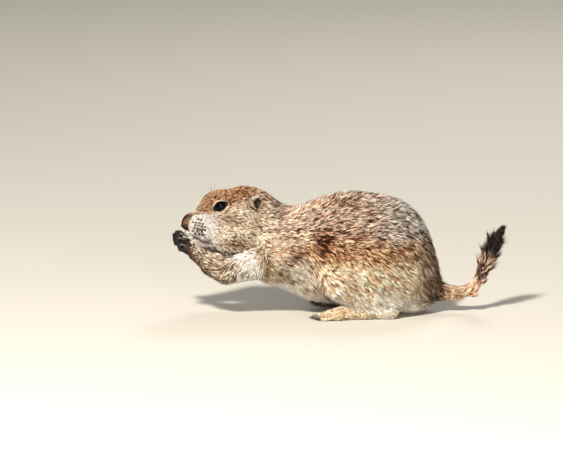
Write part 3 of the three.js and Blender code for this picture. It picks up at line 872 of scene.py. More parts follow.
class Skin:
    """The one skin that stands for every node of flesh."""

    voxel = 1.3
    floor_gap = 0.15
    lid_zone = 9.2
    eye_zone = 12.5
    ear_zone = 10.5
    finger_zone = 1.2
    toe_zone = 1.0

    def __init__(self, body: Body) -> None:
        """Takes the body whose skin this is."""
        self.body = body

    def rough(self) -> bpy.types.Mesh:
        """A closed mesh of even squares near the skin, remeshed from balls."""
        ball = bmesh.new()
        bmesh.ops.create_icosphere(ball, subdivisions=3, radius=1.0)
        shell = np.array([vertex.co[:] for vertex in ball.verts])
        faces = np.array([[vertex.index for vertex in face.verts] for face in ball.faces])
        ball.free()
        balls = []
        for at, radii, of_head in self.body.seeds():
            places = at + shell * radii
            balls.append(TURN.turned(places) if of_head else places)
        triangles = faces[None] + len(shell) * np.arange(len(balls))[:, None, None]
        piece = new_object("skin_start", triangle_mesh("skin_start", np.array(balls), triangles))
        remesh = piece.modifiers.new("voxels", "REMESH")
        remesh.mode = "VOXEL"
        remesh.voxel_size = self.voxel * MM
        graph = bpy.context.evaluated_depsgraph_get()
        result = bpy.data.meshes.new_from_object(piece.evaluated_get(graph))
        bpy.data.objects.remove(piece)
        return result

    def fine_zone(self, points: Array, keen: bool) -> Array:
        """Where the mesh gets more vertices: the face, ears, hands and toes, or the lids alone."""
        head_points = TURN.straight(points)
        eye = np.linalg.norm(self.body.head.eye.local(head_points), axis=1)
        if keen:
            return (eye < self.lid_zone) | (self.body.head.bare_nose(head_points) > 0.2)
        ear = np.linalg.norm(self.body.head.ear.local(head_points), axis=1)
        zone = (eye < self.eye_zone) | (ear < self.ear_zone)
        of_head = head_points[:, 2] > 62.0
        zone |= (head_points[:, 0] < -113.0) & of_head
        for side in Side:
            zone |= self.body.hand.depth(points, side.value) < self.finger_zone
            zone |= (self.body.foot.depth(points, side.value) < self.toe_zone) & (points[:, 0] < 2.0)
        return zone

    def refine(self, mesh: bpy.types.Mesh, keen: bool) -> None:
        """Splits the edges of the zone that needs finer detail."""
        chosen = self.fine_zone(vertices_of(mesh), keen)
        with editing(mesh) as shape:
            shape.verts.ensure_lookup_table()
            edges = [e for e in shape.edges if chosen[e.verts[0].index] and chosen[e.verts[1].index]]
            bmesh.ops.subdivide_edges(shape, edges=edges, cuts=1, use_grid_fill=True)

    def relax(self, mesh: bpy.types.Mesh, rounds: int) -> None:
        """Evens out the mesh's squares."""
        axes = {"use_axis_x": True, "use_axis_y": True, "use_axis_z": True}
        with editing(mesh) as shape:
            for _ in range(rounds):
                bmesh.ops.smooth_vert(shape, verts=shape.verts, factor=0.5, **axes)

    def fit(self, mesh: bpy.types.Mesh, passes: int, chosen: Array | None = None) -> None:
        """Moves the mesh, or the chosen vertices of it, onto the skin, and keeps it off the floor."""
        places = vertices_of(mesh)
        moving = np.ones(len(places), bool) if chosen is None else chosen
        places[moving] = settle(self.body.skin, places[moving], 0.0, passes)
        places[:, 2] = np.maximum(places[:, 2], self.floor_gap)
        set_vertices(mesh, places)

    def build(self) -> bpy.types.Object:
        """Makes the skin's mesh."""
        mesh = self.rough()
        self.fit(mesh, 4)
        self.relax(mesh, 3)
        self.fit(mesh, 2)
        for keen in (False, True):
            self.refine(mesh, keen)
            self.fit(mesh, 3, self.fine_zone(vertices_of(mesh), keen))
        mesh.shade_smooth()
        mesh.name = "skin"
        piece = new_object("skin", mesh)
        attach(piece, "root")
        return piece


@dataclass(frozen=True)
class Pelage:
    """The colours of one region's hair: its dark roots, its own colour, and its pale tips."""

    dark: str
    body: str
    tip: str
    darks: float
    pales: float

    def colours(self) -> Array:
        """The three colours and two shares as one row of values."""
        return np.array([*linear(self.dark), *linear(self.body), *linear(self.tip), self.darks, self.pales])


class Markings:
    """Where each colour of the animal is, for its skin and coat alike, with painted shade in its folds,
    under its jaw and arms, in its ear cups and nostrils and along the line between its lips.
    """

    back = Pelage("#3c1b0c", "#9c5f3e", "#fbdcc2", 0.38, 0.38)
    rear = Pelage("#2c1810", "#a87d62", "#fff8ea", 0.38, 0.42)
    tail_side = Pelage("#0d0503", "#3a271b", "#b8937a", 0.56, 0.2)
    flank = Pelage("#5a2b11", "#aa6b3d", "#f5cea4", 0.36, 0.34)
    haunch = Pelage("#986437", "#f1bf89", "#ffffe4", 0.28, 0.46)
    belly = Pelage("#b08156", "#ffe8b7", "#ffffff", 0.14, 0.56)
    neck = Pelage("#71381d", "#c98a5e", "#ffedd4", 0.32, 0.42)
    # Painted shade of folds: the crease behind the shoulder, a streak ahead of it and the ear's lower fold.
    crease = Pelage("#200602", "#642611", "#c2774e", 0.55, 0.12)
    crown = Pelage("#331606", "#844a28", "#e2b488", 0.4, 0.32)
    muzzle_top = Pelage("#35170a", "#87552f", "#f1cba2", 0.42, 0.32)
    muzzle = Pelage("#7a6656", "#cfc1b0", "#ffffff", 0.1, 0.5)
    under_eye = Pelage("#4a2814", "#8c6243", "#cfb59f", 0.38, 0.3)
    cheek = Pelage("#8c6335", "#e4c698", "#faf8e8", 0.22, 0.5)
    # Painted shadow: under the jaw, along the line between the lips and under the upper arm.
    painted_shadow = Pelage("#3e2819", "#846247", "#dcbf9f", 0.42, 0.22)
    lips = Pelage("#45362e", "#9c8d82", "#e2d8cf", 0.32, 0.32)
    ear_back = Pelage("#6a4731", "#c0997b", "#fbe3cc", 0.28, 0.44)
    cheek_low = Pelage("#38200b", "#815f3e", "#ba9e81", 0.4, 0.26)
    ear_rim = Pelage("#3c2415", "#b8977a", "#fdf2de", 0.32, 0.42)
    chin = Pelage("#4f3d30", "#a89684", "#e9dfd2", 0.32, 0.38)
    # Painted shade where the upper arm meets the chest.
    painted_armpit_shade = Pelage("#3c2411", "#97714a", "#e6cfa8", 0.42, 0.28)
    patch = Pelage("#b1946e", "#f2e4ca", "#ffffff", 0.12, 0.6)
    forearm = Pelage("#5a3e24", "#bf9f79", "#fcf2dc", 0.36, 0.36)
    wrist = Pelage("#241710", "#6a4c38", "#b39377", 0.5, 0.16)
    foot = Pelage("#7d5f3c", "#d2b085", "#fdeed2", 0.24, 0.42)
    tail_root = Pelage("#7c3e1d", "#e8a067", "#fff0d4", 0.28, 0.36)
    tail_brush = Pelage("#200c05", "#74452b", "#eccbb0", 0.48, 0.24)
    tail_black = Pelage("#050303", "#17110e", "#4b3b31", 0.6, 0.14)

    # Each row of whisker dots: its first place, its height, how many dots and how far apart they are.
    spot_rows = (
        (-126.6, 87.2, 2, 2.3),
        (-130.9, 84.3, 4, 2.6),
        (-129.2, 81.8, 4, 2.7),
        (-129.6, 79.2, 5, 2.1),
        (-130.9, 76.9, 3, 3.6),
        (-129.0, 74.4, 3, 2.9),
    )

    def __init__(self, body: Body) -> None:
        """Takes the body that these markings lie on."""
        self.body = body

    def layers(self, points: Array) -> Iterable[tuple[Pelage, Array]]:
        """Each region's colours and its share of each place, from the first laid down to the last."""
        head = TURN.straight(points)
        wobble = mottle(points, 9.0, 3)
        x = points[:, 0] + 3.0 * wobble
        z = points[:, 2] + 3.0 * mottle(points, 11.0, 5)
        reach = np.abs(points[:, 1])
        hx = head[:, 0] + 0.8 * wobble
        hz = head[:, 2] + 0.8 * mottle(points, 5.0, 8)
        of_head = step(head[:, 0], -60, -72)
        yield self.back, np.ones(len(points))
        yield self.rear, step(x, 8, 62) * 0.9
        yield self.flank, step(z, 78, 62) * (1.0 - 0.5 * step(x, 40, 80))
        yield self.haunch, step(z, 60, 44) * (1.0 - 0.75 * step(x, 62, 84))
        yield self.belly, step(z, 34, 18) * (1.0 - 0.8 * step(x, 64, 84))
        yield self.tail_side, step(x, 60, 84) * step(z, 86, 58) * 0.92
        yield self.neck, step(x, -18, -44) * step(z, 104, 88) * 0.85
        yield self.belly, step(x, -20, -40) * step(z, 62, 44)
        # Painted shade in the crease behind the shoulder, and along a diagonal streak ahead of it at the
        # shoulder.
        spot = np.hypot((points[:, 0] + 15.5) / 8.5, (points[:, 2] - 69) / 12.0)
        yield self.crease, step(spot, 1.15, 0.2) * step(reach, 20, 30) * 0.95
        along = (points[:, 0] + 46) * 0.8 + (points[:, 2] - 55) * 0.6
        beside = (points[:, 2] - 55) * 0.8 - (points[:, 0] + 46) * 0.6
        yield self.crease, bell(along - 7, 12.0) * bell(beside, 3.2) * step(reach, 20, 30) * 0.6
        yield from self.face(head, hx, hz, of_head)
        yield from self.limbs(points, head)
        yield from self.brush(points)

    def face(self, head: Array, hx: Array, hz: Array, of_head: Array) -> Iterable[tuple[Pelage, Array]]:
        """The head's layers."""
        reach = np.abs(head[:, 1])
        yield self.cheek, of_head * step(hz, 103, 95)
        yield self.muzzle, of_head * step(hx, -106, -114)
        below_eye = bell(np.hypot((hx + 101) / 2.1, hz - 88.0), 6.0)
        yield self.under_eye, of_head * below_eye * 0.9
        yield self.under_eye, of_head * bell(np.hypot((hx + 78) / 1.2, (hz - 84) / 1.3), 7.0) * 0.5
        yield self.cheek_low, of_head * bell(np.hypot((hx + 96) / 2.4, hz - 67.5), 6.2) * 0.95
        yield self.chin, of_head * step(hx, -90, -100) * step(hz, 65, 61)
        brow = 90.0 + 0.3 * (hx + 131) - 0.35 * np.maximum(reach - 12.0, 0.0)
        brow = np.where(hx > -104, 99.0 + 0.38 * (hx + 104), brow)
        yield self.muzzle_top, of_head * step(hz - brow, -3.5, 2.0) * step(hx, -98, -108)
        yield self.crown, of_head * step(hz - brow, -1.0, 2.5) * step(hx, -126, -104) * step(hx, -52, -68)
        yield self.ear_back, of_head * bell(np.hypot(hx + 67, hz - 98), 9.0) * 0.7
        ear = np.linalg.norm(self.body.head.ear.local(head), axis=1)
        yield self.ear_rim, of_head * step(ear, 10.5, 8.5)
        # Painted shade in the ear's lower fold.
        notch = Rod((-4.9, 0, -3.2), (1.3, 0, -6.8), (0, 0))
        local = self.body.head.ear.local(head) * np.array([1.0, 0.0, 1.0])
        yield self.crease, of_head * bell(notch.depth(local), 1.0) * step(ear, 13.0, 11.0)
        # Painted shadow under the jaw.
        yield self.painted_shadow, of_head * step(hx, -118, -108) * bell(hz - 56 + 0.06 * (hx + 95), 4.5) * 0.85
        above, here = self.body.head.mouth_line(head)
        yield self.lips, here * bell(above - 1.0, 2.6) * step(hx, -112, -118)
        # Painted shade along the line between the lips.
        yield self.painted_shadow, here * bell(above, 1.2) * step(hx, -113, -118)
        yield self.belly, of_head * step(hz, 60, 52) * step(reach, 14, 4)

    def limbs(self, points: Array, head: Array) -> Iterable[tuple[Pelage, Array]]:
        """The arms', hands' and feet's layers."""
        x, z = points[:, 0], points[:, 2]
        arms = nearer(self.body.arm.coat, points)
        on_arm = step(arms - self.body.head.coat(points), 3.0, -1.0) * step(arms, 6.0, 2.0)
        beside = (x + 84) * 0.53 + (z - 63) * 0.85
        along = (x + 84) * 0.85 - (z - 63) * 0.53
        # Painted shade in a band where the upper arm meets the chest.
        shade = bell(beside, 5.5) * step(along, -6, 4) * step(along, 50, 38)
        yield self.painted_armpit_shade, shade * step(np.abs(points[:, 1]), 16, 24) * 0.8
        yield self.patch, on_arm * step(x, -64, -71) * step(x, -96, -88) * step(z, 62, 56)
        yield self.forearm, on_arm * step(x, -84, -96)
        # Painted shadow along the underside of the upper arm.
        yield self.painted_shadow, on_arm * bell(z - 35 - 0.1 * (x + 70), 3.2) * step(x, -90, -80) * 0.7
        yield self.wrist, on_arm * step(head[:, 0] + 0.9 * (head[:, 2] - 52), -118, -131)
        feet = nearer(self.body.foot.depth, points)
        yield self.foot, step(feet, 3.0, 1.0)

    def brush(self, points: Array) -> Iterable[tuple[Pelage, Array]]:
        """The tail's layers."""
        _, share = self.body.tail.lie(points)
        depth = self.body.tail.coat(points)
        on_tail = step(depth, 3.0, 0.5) * step(points[:, 0], 86, 96)
        yield self.tail_root, on_tail
        yield self.tail_brush, on_tail * step(share, 0.3, 0.44)
        yield self.tail_black, on_tail * step(share + 0.05 * mottle(points, 3.0, 6), 0.62, 0.74)

    def mixed(self, points: Array) -> Array:
        """Dark, own and tip colours and the two shares at each place, eleven values a row."""
        values = np.zeros((len(points), 11))
        for pelage, share in self.layers(points):
            values += (pelage.colours() - values) * share[:, None]
        return values

    def whisker_spots(self, head: Array) -> Array:
        """1 in the rows of dark dots that the whiskers grow from."""
        spots = np.zeros(len(head))
        for first, height, count, apart in self.spot_rows:
            for i in range(count):
                far = np.hypot(head[:, 0] - first - apart * i, head[:, 2] - height + 0.25 * i)
                spots = np.maximum(spots, step(far, 1.3, 0.9))
        return spots * step(np.abs(head[:, 1]), 3.0, 5.0)

    def eye_rings(self, head: Array) -> tuple[Array, Array]:
        """The dark edge of the lids, and the pale ring round them."""
        local = self.body.head.eye.local(head)
        near = step(np.linalg.norm(local, axis=1), 13.0, 10.5) * step(local[:, 2], -1.0, 1.0)
        gap = self.body.head.eye.slit(local)
        corner = step(np.abs(local[:, 0]), 4.6, 6.6)
        return near * step(gap, 0.65 + 2.1 * corner, 0.2), near * bell(gap - 1.3, 0.8)

    def skin(self, points: Array) -> Array:
        """The skin's colour at each place, and how moist it is, four values a row."""
        values = self.mixed(points)
        head = TURN.straight(points)
        colour = blend(values[:, :3], values[:, 3:6], 0.45)
        grain = 1.0 + 0.1 * mottle(points, 0.9, 2)
        colour = colour * grain[:, None]
        bare = self.body.head.bare_nose(head)
        nose = blend(linear("#190c06"), linear("#5f4226"), self.nose_light(head)[:, None])
        # The ear's cup: painted shade, near black, in its inner and lower part, and mid-brown skin in its
        # open upper part.
        ear = self.body.head.ear.local(head)
        hollow = step(self.body.head.ear.hollow(ear), 1.0, 0.2) * step(np.linalg.norm(ear, axis=1), 9.0, 8.0)
        deep = step(ear[:, 1], 1.0, 2.6) * step(ear[:, 2], -2.0, 1.0)
        within = blend(linear("#0b0503"), linear("#8f6a4c"), deep[:, None])
        edge, ring = self.eye_rings(head)
        palm = step(head[:, 0], -139, -131)[:, None]
        dark_hand = blend(linear("#17100c"), linear("#4a3022"), palm)
        sole = step(points[:, 2], 1.6, 0.4) * step(np.abs(points[:, 1]), 18, 22) * step(points[:, 0], 60, 50)
        above, here = self.body.head.mouth_line(head)
        layers = (
            (nose, bare),
            (within, hollow * 0.95),
            (linear("#f0dcc0"), ring * 0.7),
            (linear("#120b08"), edge),
            (dark_hand, step(nearer(self.body.hand.depth, points), 1.6, 0.4)),
            (linear("#4a352a"), sole),
            # Painted shade along the line between the lips.
            (linear("#24120e"), here * bell(above, 0.9) * step(head[:, 0], -112, -116)),
        )
        for shade, share in layers:
            colour = blend(colour, shade, share[:, None])
        return np.concatenate([colour, bare[:, None]], axis=1)

    def nose_light(self, head: Array) -> Array:
        """Where the nose's bald skin is paler: its middle, away from its edge and the nostrils, whose dark
        is painted shade in their openings.
        """
        # Painted shade in the nostrils' openings.
        nostril = step(self.body.head.nostril.depth(folded(head)), 2.6, 1.4)
        flank = bell(head[:, 2] - 84.6, 3.6) * step(np.abs(head[:, 1]), 1.4, 4.2)
        return flank * (1.0 - nostril)


@dataclass(frozen=True)
class Lay:
    """How the hair of one region is: length, width, density, how untidy and how drawn into locks."""

    length: float
    width: float
    density: float
    stray: float
    locks: float

    def row(self) -> Array:
        """The five sizes as an array."""
        return np.array([self.length, self.width, self.density, self.stray, self.locks])


class Zone(Enum):
    """The pieces that the coat is made in, with how many tufts each has."""

    HEAD_LEFT = 17500
    HEAD_RIGHT = 17400
    FRONT_LEFT = 14100
    FRONT_RIGHT = 14000
    MIDDLE_LEFT = 15200
    MIDDLE_RIGHT = 15100
    REAR_LEFT = 15800
    REAR_RIGHT = 15700
    ARM_LEFT = 5600
    ARM_RIGHT = 5500
    LEG_LEFT = 3300
    LEG_RIGHT = 3200
    TAIL = 7000


class Coat:
    """The hair: thin closed spikes in overlapping tufts that follow the lie of the coat."""

    back = Lay(9.5, 0.54, 1.0, 1.0, 0.5)
    rump = Lay(11.0, 0.6, 1.0, 1.2, 0.5)
    belly = Lay(10.0, 0.6, 0.9, 1.2, 0.5)
    neck = Lay(8.0, 0.5, 1.1, 0.9, 0.45)
    head = Lay(4.6, 0.4, 2.5, 0.6, 0.3)
    muzzle = Lay(2.0, 0.32, 4.8, 0.45, 0.1)
    arm = Lay(7.0, 0.46, 1.6, 1.0, 0.5)
    wrist = Lay(3.2, 0.4, 2.4, 0.8, 0.3)
    foot = Lay(3.2, 0.44, 2.6, 0.6, 0.12)
    tail = Lay(8.0, 0.5, 1.8, 0.8, 0.1)
    brush = Lay(15.0, 0.5, 1.6, 1.4, 0.3)
    tip = Lay(3.5, 0.5, 2.0, 0.8, 0.1)
    ear = Lay(1.7, 0.3, 3.8, 0.6, 0.1)
    clump_share = 3
    floor_gap = 0.45
    turn_spread = 0.16
    tone_spread = 0.13
    stray_share = 0.06
    length_range = (0.72, 1.15)
    rise_range = (0.55, 1.05)
    lift_range = (0.14, 0.34)
    width_range = (0.8, 1.2)
    corner_angles = (90.0, 210.0, 330.0)
    root_width = 0.75
    thickness = 0.7
    map_patch = 0.003
    spine_of_vertex = (0, 0, 0, 1, 1, 1, 2)

    def __init__(self, body: Body, markings: Markings) -> None:
        """Takes the body and the colours that the coat follows."""
        self.body = body
        self.markings = markings
        self.random = np.random.default_rng(SEED)

    def lay(self, points: Array) -> Array:
        """The sizes of the hair at each place, as a lay's row."""
        head = TURN.straight(points)
        x, z = points[:, 0], points[:, 2]
        values = np.tile(self.back.row(), (len(points), 1))
        arms = nearer(self.body.arm.coat, points)
        on_arm = step(arms - self.body.head.coat(points), 2.0, -1.0) * step(arms, 7.0, 2.0)
        feet = nearer(self.body.foot.depth, points)
        on_tail = step(x, 86, 96)
        along_tail = self.body.tail.lie(points)[1]
        ears = np.linalg.norm(self.body.head.ear.local(head), axis=1)
        layers = (
            (self.rump, step(x, 40, 75)),
            (self.belly, step(z, 30, 14)),
            (self.neck, step(x, -30, -56)),
            (self.head, step(head[:, 0], -62, -80)),
            (self.muzzle, step(head[:, 0], -104, -120)),
            (self.ear, step(ears, 11.5, 8.5)),
            (self.arm, on_arm * step(x, -60, -80)),
            (self.wrist, on_arm * step(x, -108, -126)),
            (self.foot, step(feet, 3.0, 1.0)),
            (self.tail, on_tail),
            (self.brush, on_tail * step(along_tail, 0.4, 0.6)),
            (self.tip, on_tail * step(along_tail, 0.78, 0.98)),
        )
        for lay, share in layers:
            values += (lay.row() - values) * share[:, None]
        values[:, 2] *= 1.0 - self.bare(points, head)
        return values

    def bare(self, points: Array, head: Array) -> Array:
        """1 where no hair grows: the nose, lids, mouth, ear cups, hands, toes' pads and the floor."""
        nose = self.body.head.bare_nose(head + np.array([0.9, 0.0, 0.0]))
        edge, _ = self.markings.eye_rings(head)
        eye = self.body.head.eye.local(head)
        near_eye = (np.linalg.norm(eye, axis=1) < 9.6) & (eye[:, 2] > 0)
        opening = near_eye & (self.body.head.eye.slit(eye) < 0.5)
        above, here = self.body.head.mouth_line(head)
        mouth = here * bell(above, 0.7) * step(head[:, 0], -112, -116)
        cup = step(self.body.head.ear.hollow(self.body.head.ear.local(head)), 1.0, 0.4)
        hands = step(nearer(self.body.hand.depth, points), 0.9, 0.3) * step(head[:, 0], -130, -134)
        floor = step(points[:, 2], 1.6, 0.8)
        return np.maximum.reduce([nose, edge, opening.astype(float), mouth, cup, hands, floor])

    def flow(self, points: Array, normals: Array) -> Array:
        """The way that the hair points at each place, along the skin."""
        head = TURN.straight(points)
        x, y, z = points.T
        side = np.sign(y)
        low = step(z, 80, 40)
        way = rows(1.0, 0.0, -0.18 - 0.5 * low)
        haunch = step(x, -5, 25) * step(z, 85, 45)
        way[:, 2] -= 0.35 * haunch
        rump = step(x, 62, 86)
        way = blend(way, rows(0.35, -0.2 * side, -1.0), rump[:, None] * 0.8)
        belly = step(z, 24, 10)
        way = blend(way, np.array([1.0, 0.0, 0.0]), belly[:, None])
        of_head = step(head[:, 0], -62, -82)
        hz = head[:, 2]
        cheek = step(hz, 92, 74)
        face = rows(1.0, 0.25 * side, 0.1 - 0.55 * cheek)
        way = blend(way, face, of_head[:, None])
        muzzle = step(head[:, 0], -112, -122)
        nose = np.array([-136.0, 0.0, 82.0])
        fan = unit((head - nose) * np.array([1.0, 1.0, 0.7])) @ TURN.sweep.T
        way = blend(way, fan, (of_head * muzzle)[:, None] * 0.8)
        way = self.limb_flow(points, way)
        along, share = self.body.tail.lie(points)
        on_tail = step(x, 84, 94)
        way = blend(way, along, on_tail[:, None])
        wobble = np.stack([mottle(points, 16.0, 31 + i) for i in range(3)], axis=1)
        way += wobble * blend(0.26, 0.12, of_head)[:, None]
        way -= (way * normals).sum(axis=1, keepdims=True) * normals
        along -= np.minimum((along * normals).sum(axis=1, keepdims=True), 0.0) * normals
        fluff = blend(0.12, 0.56, step(z, 22, 40)) * (1.0 - 0.6 * step(share, 0.8, 1.0))
        return unit(blend(unit(way), along + fluff[:, None] * normals, step(x, 96, 112)[:, None]))

    def limb_flow(self, points: Array, way: Array) -> Array:
        """The way of the hair, with that of the arms and feet laid over it."""
        for side in Side:
            rods = self.body.arm.rods(side.value)
            depths = np.array([rod.depth(points) for rod in rods])
            nearest = depths.argmin(axis=0)
            ways = unit(np.array([np.subtract(rod.end, rod.start) for rod in rods]))
            down = np.array([0.25, 0.0, -0.75])
            share = step(depths.min(axis=0) - self.body.head.coat(points), 2.0, -1.0)
            share = share * step(depths.min(axis=0), 7.0, 2.0) * step(points[:, 0], -56, -72)
            hang = step(points[:, 0], -112, -90)[:, None]
            limb = blend(ways[nearest], ways[nearest] * 0.35 + down, hang * 0.8)
            way = blend(way, limb, share[:, None])
            above = self.body.foot.depth(points, side.value)
            out = 0.35 * side.value * step(np.abs(points[:, 1]), 30, 44)
            hanging = step(above, 16.0, 4.0) * step(points[:, 2], 22, 12) * 0.85
            way = blend(way, rows(0.1, out, -1.0), hanging[:, None])
            way = blend(way, np.array([-1.0, 0.0, -0.25]), step(above, 3.0, 0.6)[:, None])
        return way

    def zone_of(self, points: Array) -> Array:
        """The piece that each place belongs to, as the index of its zone."""
        zones = list(Zone)
        head = TURN.straight(points)
        left = np.where(points[:, 0] < -60, head[:, 1], points[:, 1]) < 0

        def pick(name: str) -> Array:
            """The left or the right piece of that name, at each place."""
            pair = Zone[f"{name}_LEFT"], Zone[f"{name}_RIGHT"]
            return np.where(left, zones.index(pair[0]), zones.index(pair[1]))

        chosen = pick("MIDDLE")
        chosen = np.where(points[:, 0] > 32, pick("REAR"), chosen)
        chosen = np.where(points[:, 0] < -18, pick("FRONT"), chosen)
        of_head = (head[:, 0] < -68) & (head[:, 2] > 50)
        chosen = np.where(of_head, pick("HEAD"), chosen)
        limb = np.minimum(nearer(self.body.arm.coat, points), nearer(self.body.hand.depth, points))
        on_arm = (limb < self.body.head.coat(points)) & (points[:, 0] < -64)
        chosen = np.where(on_arm, pick("ARM"), chosen)
        chosen = np.where(nearer(self.body.foot.depth, points) < 2.5, pick("LEG"), chosen)
        return np.where(points[:, 0] > 90, zones.index(Zone.TAIL), chosen)

    def unwrap(self, zone: Zone, points: Array) -> Array:
        """Each root's place on a flat map of its zone, from the skin's own shape.

        Args:
            zone: the piece.
            points: the roots.

        Returns:
            Two values from about 0 to 1 for each: along the zone, and round it.
        """
        if zone is Zone.TAIL:
            ways, along = self.body.tail.lie(points)
            rods = self.body.tail.rods(self.body.tail.core_radii)
            middle = np.array([np.array(rod.start) for rod in rods])
            nearest = np.argmin([np.abs((points - m) @ unit(m - middle[0] + 1)) for m in middle], axis=0)
            offset = points - middle[nearest]
            offset -= (offset * ways).sum(axis=1, keepdims=True) * ways
            cross = np.cross(ways, np.array([0.0, 1.0, 0.0]))
            angle = np.arctan2(offset[:, 1], (offset * cross).sum(axis=1))
        elif zone in (Zone.ARM_LEFT, Zone.ARM_RIGHT):
            side = -1 if zone is Zone.ARM_LEFT else 1
            a = mirrored(self.body.arm.shoulder, side)
            b = TURN.turned_point(mirrored(self.body.arm.wrist, side))
            way = unit(b - a)
            along = (points - a) @ way
            offset = points - a - along[:, None] * way
            across = unit(np.cross(way, np.array([0.0, 0.0, 1.0])))
            angle = np.arctan2(offset @ np.cross(across, way), offset @ across)
        else:
            heights = {Zone.LEG_LEFT: 5.0, Zone.LEG_RIGHT: 5.0, Zone.HEAD_LEFT: 82.0, Zone.HEAD_RIGHT: 82.0}
            middle = 36.0 if zone in (Zone.LEG_LEFT, Zone.LEG_RIGHT) else 0.0
            along = points[:, 0]
            angle = np.arctan2(points[:, 2] - heights.get(zone, 52.0), np.abs(points[:, 1]) - middle)
        flat = rows(along, angle)
        low, high = flat.min(axis=0), flat.max(axis=0)
        return 0.01 + 0.975 * (flat - low) / np.maximum(high - low, 1e-9)

    def roots(self, skin: bpy.types.Mesh) -> tuple[Array, Array, Array, Array]:
        """Picks where tufts grow.

        Args:
            skin: the mesh that they grow on.

        Returns:
            The places, the skin's outward ways there, their zones' indices, and their lays.
        """
        skin.calc_loop_triangles()
        corners = np.empty(len(skin.loop_triangles) * 3, np.int32)
        skin.loop_triangles.foreach_get("vertices", corners)
        triangles = vertices_of(skin)[corners.reshape(-1, 3)]
        middles = triangles.mean(axis=1)
        cross = np.cross(triangles[:, 1] - triangles[:, 0], triangles[:, 2] - triangles[:, 0])
        areas = np.linalg.norm(cross, axis=1) / 2.0
        weights = areas * in_parts(self.lay, middles)[:, 2]
        zones = in_parts(self.zone_of, middles)
        places, outward, owners = [], [], []
        for index, zone in enumerate(Zone):
            inside = np.flatnonzero(zones == index)
            total = np.cumsum(weights[inside])
            LOG.info("zone %s: %.0f mm2, weight %.0f", zone.name, areas[inside].sum(), total[-1])
            marks = (np.arange(zone.value) + self.random.random(zone.value)) / zone.value * total[-1]
            picked = inside[np.minimum(np.searchsorted(total, marks), len(inside) - 1)]
            a, b = self.random.random((2, zone.value))
            folded = a + b > 1.0
            a, b = np.where(folded, 1.0 - a, a)[:, None], np.where(folded, 1.0 - b, b)[:, None]
            corner = triangles[picked]
            places.append(corner[:, 0] * (1.0 - a - b) + corner[:, 1] * a + corner[:, 2] * b)
            outward.append(unit(cross[picked]))
            owners.append(np.full(zone.value, index))
        found = np.concatenate(places)
        return found, np.concatenate(outward), np.concatenate(owners), in_parts(self.lay, found)

    def spines(self, roots: Array, normals: Array, lays: Array) -> tuple[Array, Array]:
        """Lays each tuft's spine along the body.

        Args:
            roots: where the tufts grow.
            normals: the skin's outward way there.
            lays: the hair's sizes there.

        Returns:
            The root, middle and tip of each spine, and the index of its lock's leader.
        """
        count = len(roots)
        grid = CoatGrid(self.body)
        depth = -grid.look_up(roots)[:, 0]
        way = in_parts(self.flow, roots, normals)
        across = np.cross(normals, way)
        turn = self.random.normal(0.0, self.turn_spread, count)[:, None] * lays[:, 3:4]
        way = unit(way + across * turn)
        length = (lays[:, 0] * self.random.uniform(*self.length_range, count))[:, None]
        rise = self.random.uniform(*self.rise_range, count)
        strays = self.random.random(count) < self.stray_share
        rise = np.where(strays, rise + 0.25 * lays[:, 3], rise)
        middle = grid.settle(roots + way * length * 0.45, -depth * (1.0 - 0.62 * rise))
        ahead = unit(middle - roots)
        normal_there = unit(grid.look_up(middle)[:, 1:])
        along = unit(ahead - 0.75 * (ahead * normal_there).sum(axis=1, keepdims=True) * normal_there)
        tip = grid.settle(middle + along * length * 0.55, -depth * (1.0 - rise))
        free = step(roots[:, 0], 96, 112)[:, None]
        middle = blend(middle, roots + way * length * 0.45, free)
        tip = blend(tip, roots + way * length * rise[:, None], free)
        lift = length * self.random.uniform(*self.lift_range, count)[:, None] * normals
        short = step(lays[:, 0], 6.4, 5.2)[:, None]
        middle = blend(middle, roots + way * length * 0.5 + lift * 0.7, short)
        tip = blend(tip, roots + way * length * 0.96 + lift * 0.9, short)
        spines = np.stack([roots - normals * 0.4, middle, tip], axis=1)
        spines[:, :, 2] = np.maximum(spines[:, :, 2], self.floor_gap)
        return self.clumped(spines, lays)

    def clumped(self, spines: Array, lays: Array) -> tuple[Array, Array]:
        """Draws each spine's tip towards its leader's, as hair falls into locks, and says which leads it."""
        count = len(spines)
        leaders = self.random.permutation(count)[: count // self.clump_share]
        tree = kdtree.KDTree(len(leaders))
        for i, place in enumerate(spines[leaders, 0]):
            tree.insert(place, i)
        tree.balance()
        leader = leaders[np.array([tree.find(place)[1] for place in spines[:, 0]])]
        near = np.linalg.norm(spines[:, 0] - spines[leader, 0], axis=1)
        pull = lays[:, 4] * step(near, lays[:, 0] * 0.6, 0.0)
        drawn = spines.copy()
        drawn[:, 1] += (spines[leader, 1] - spines[:, 1]) * (pull * 0.35)[:, None]
        drawn[:, 2] += (spines[leader, 2] - spines[:, 2]) * pull[:, None]
        return drawn, leader

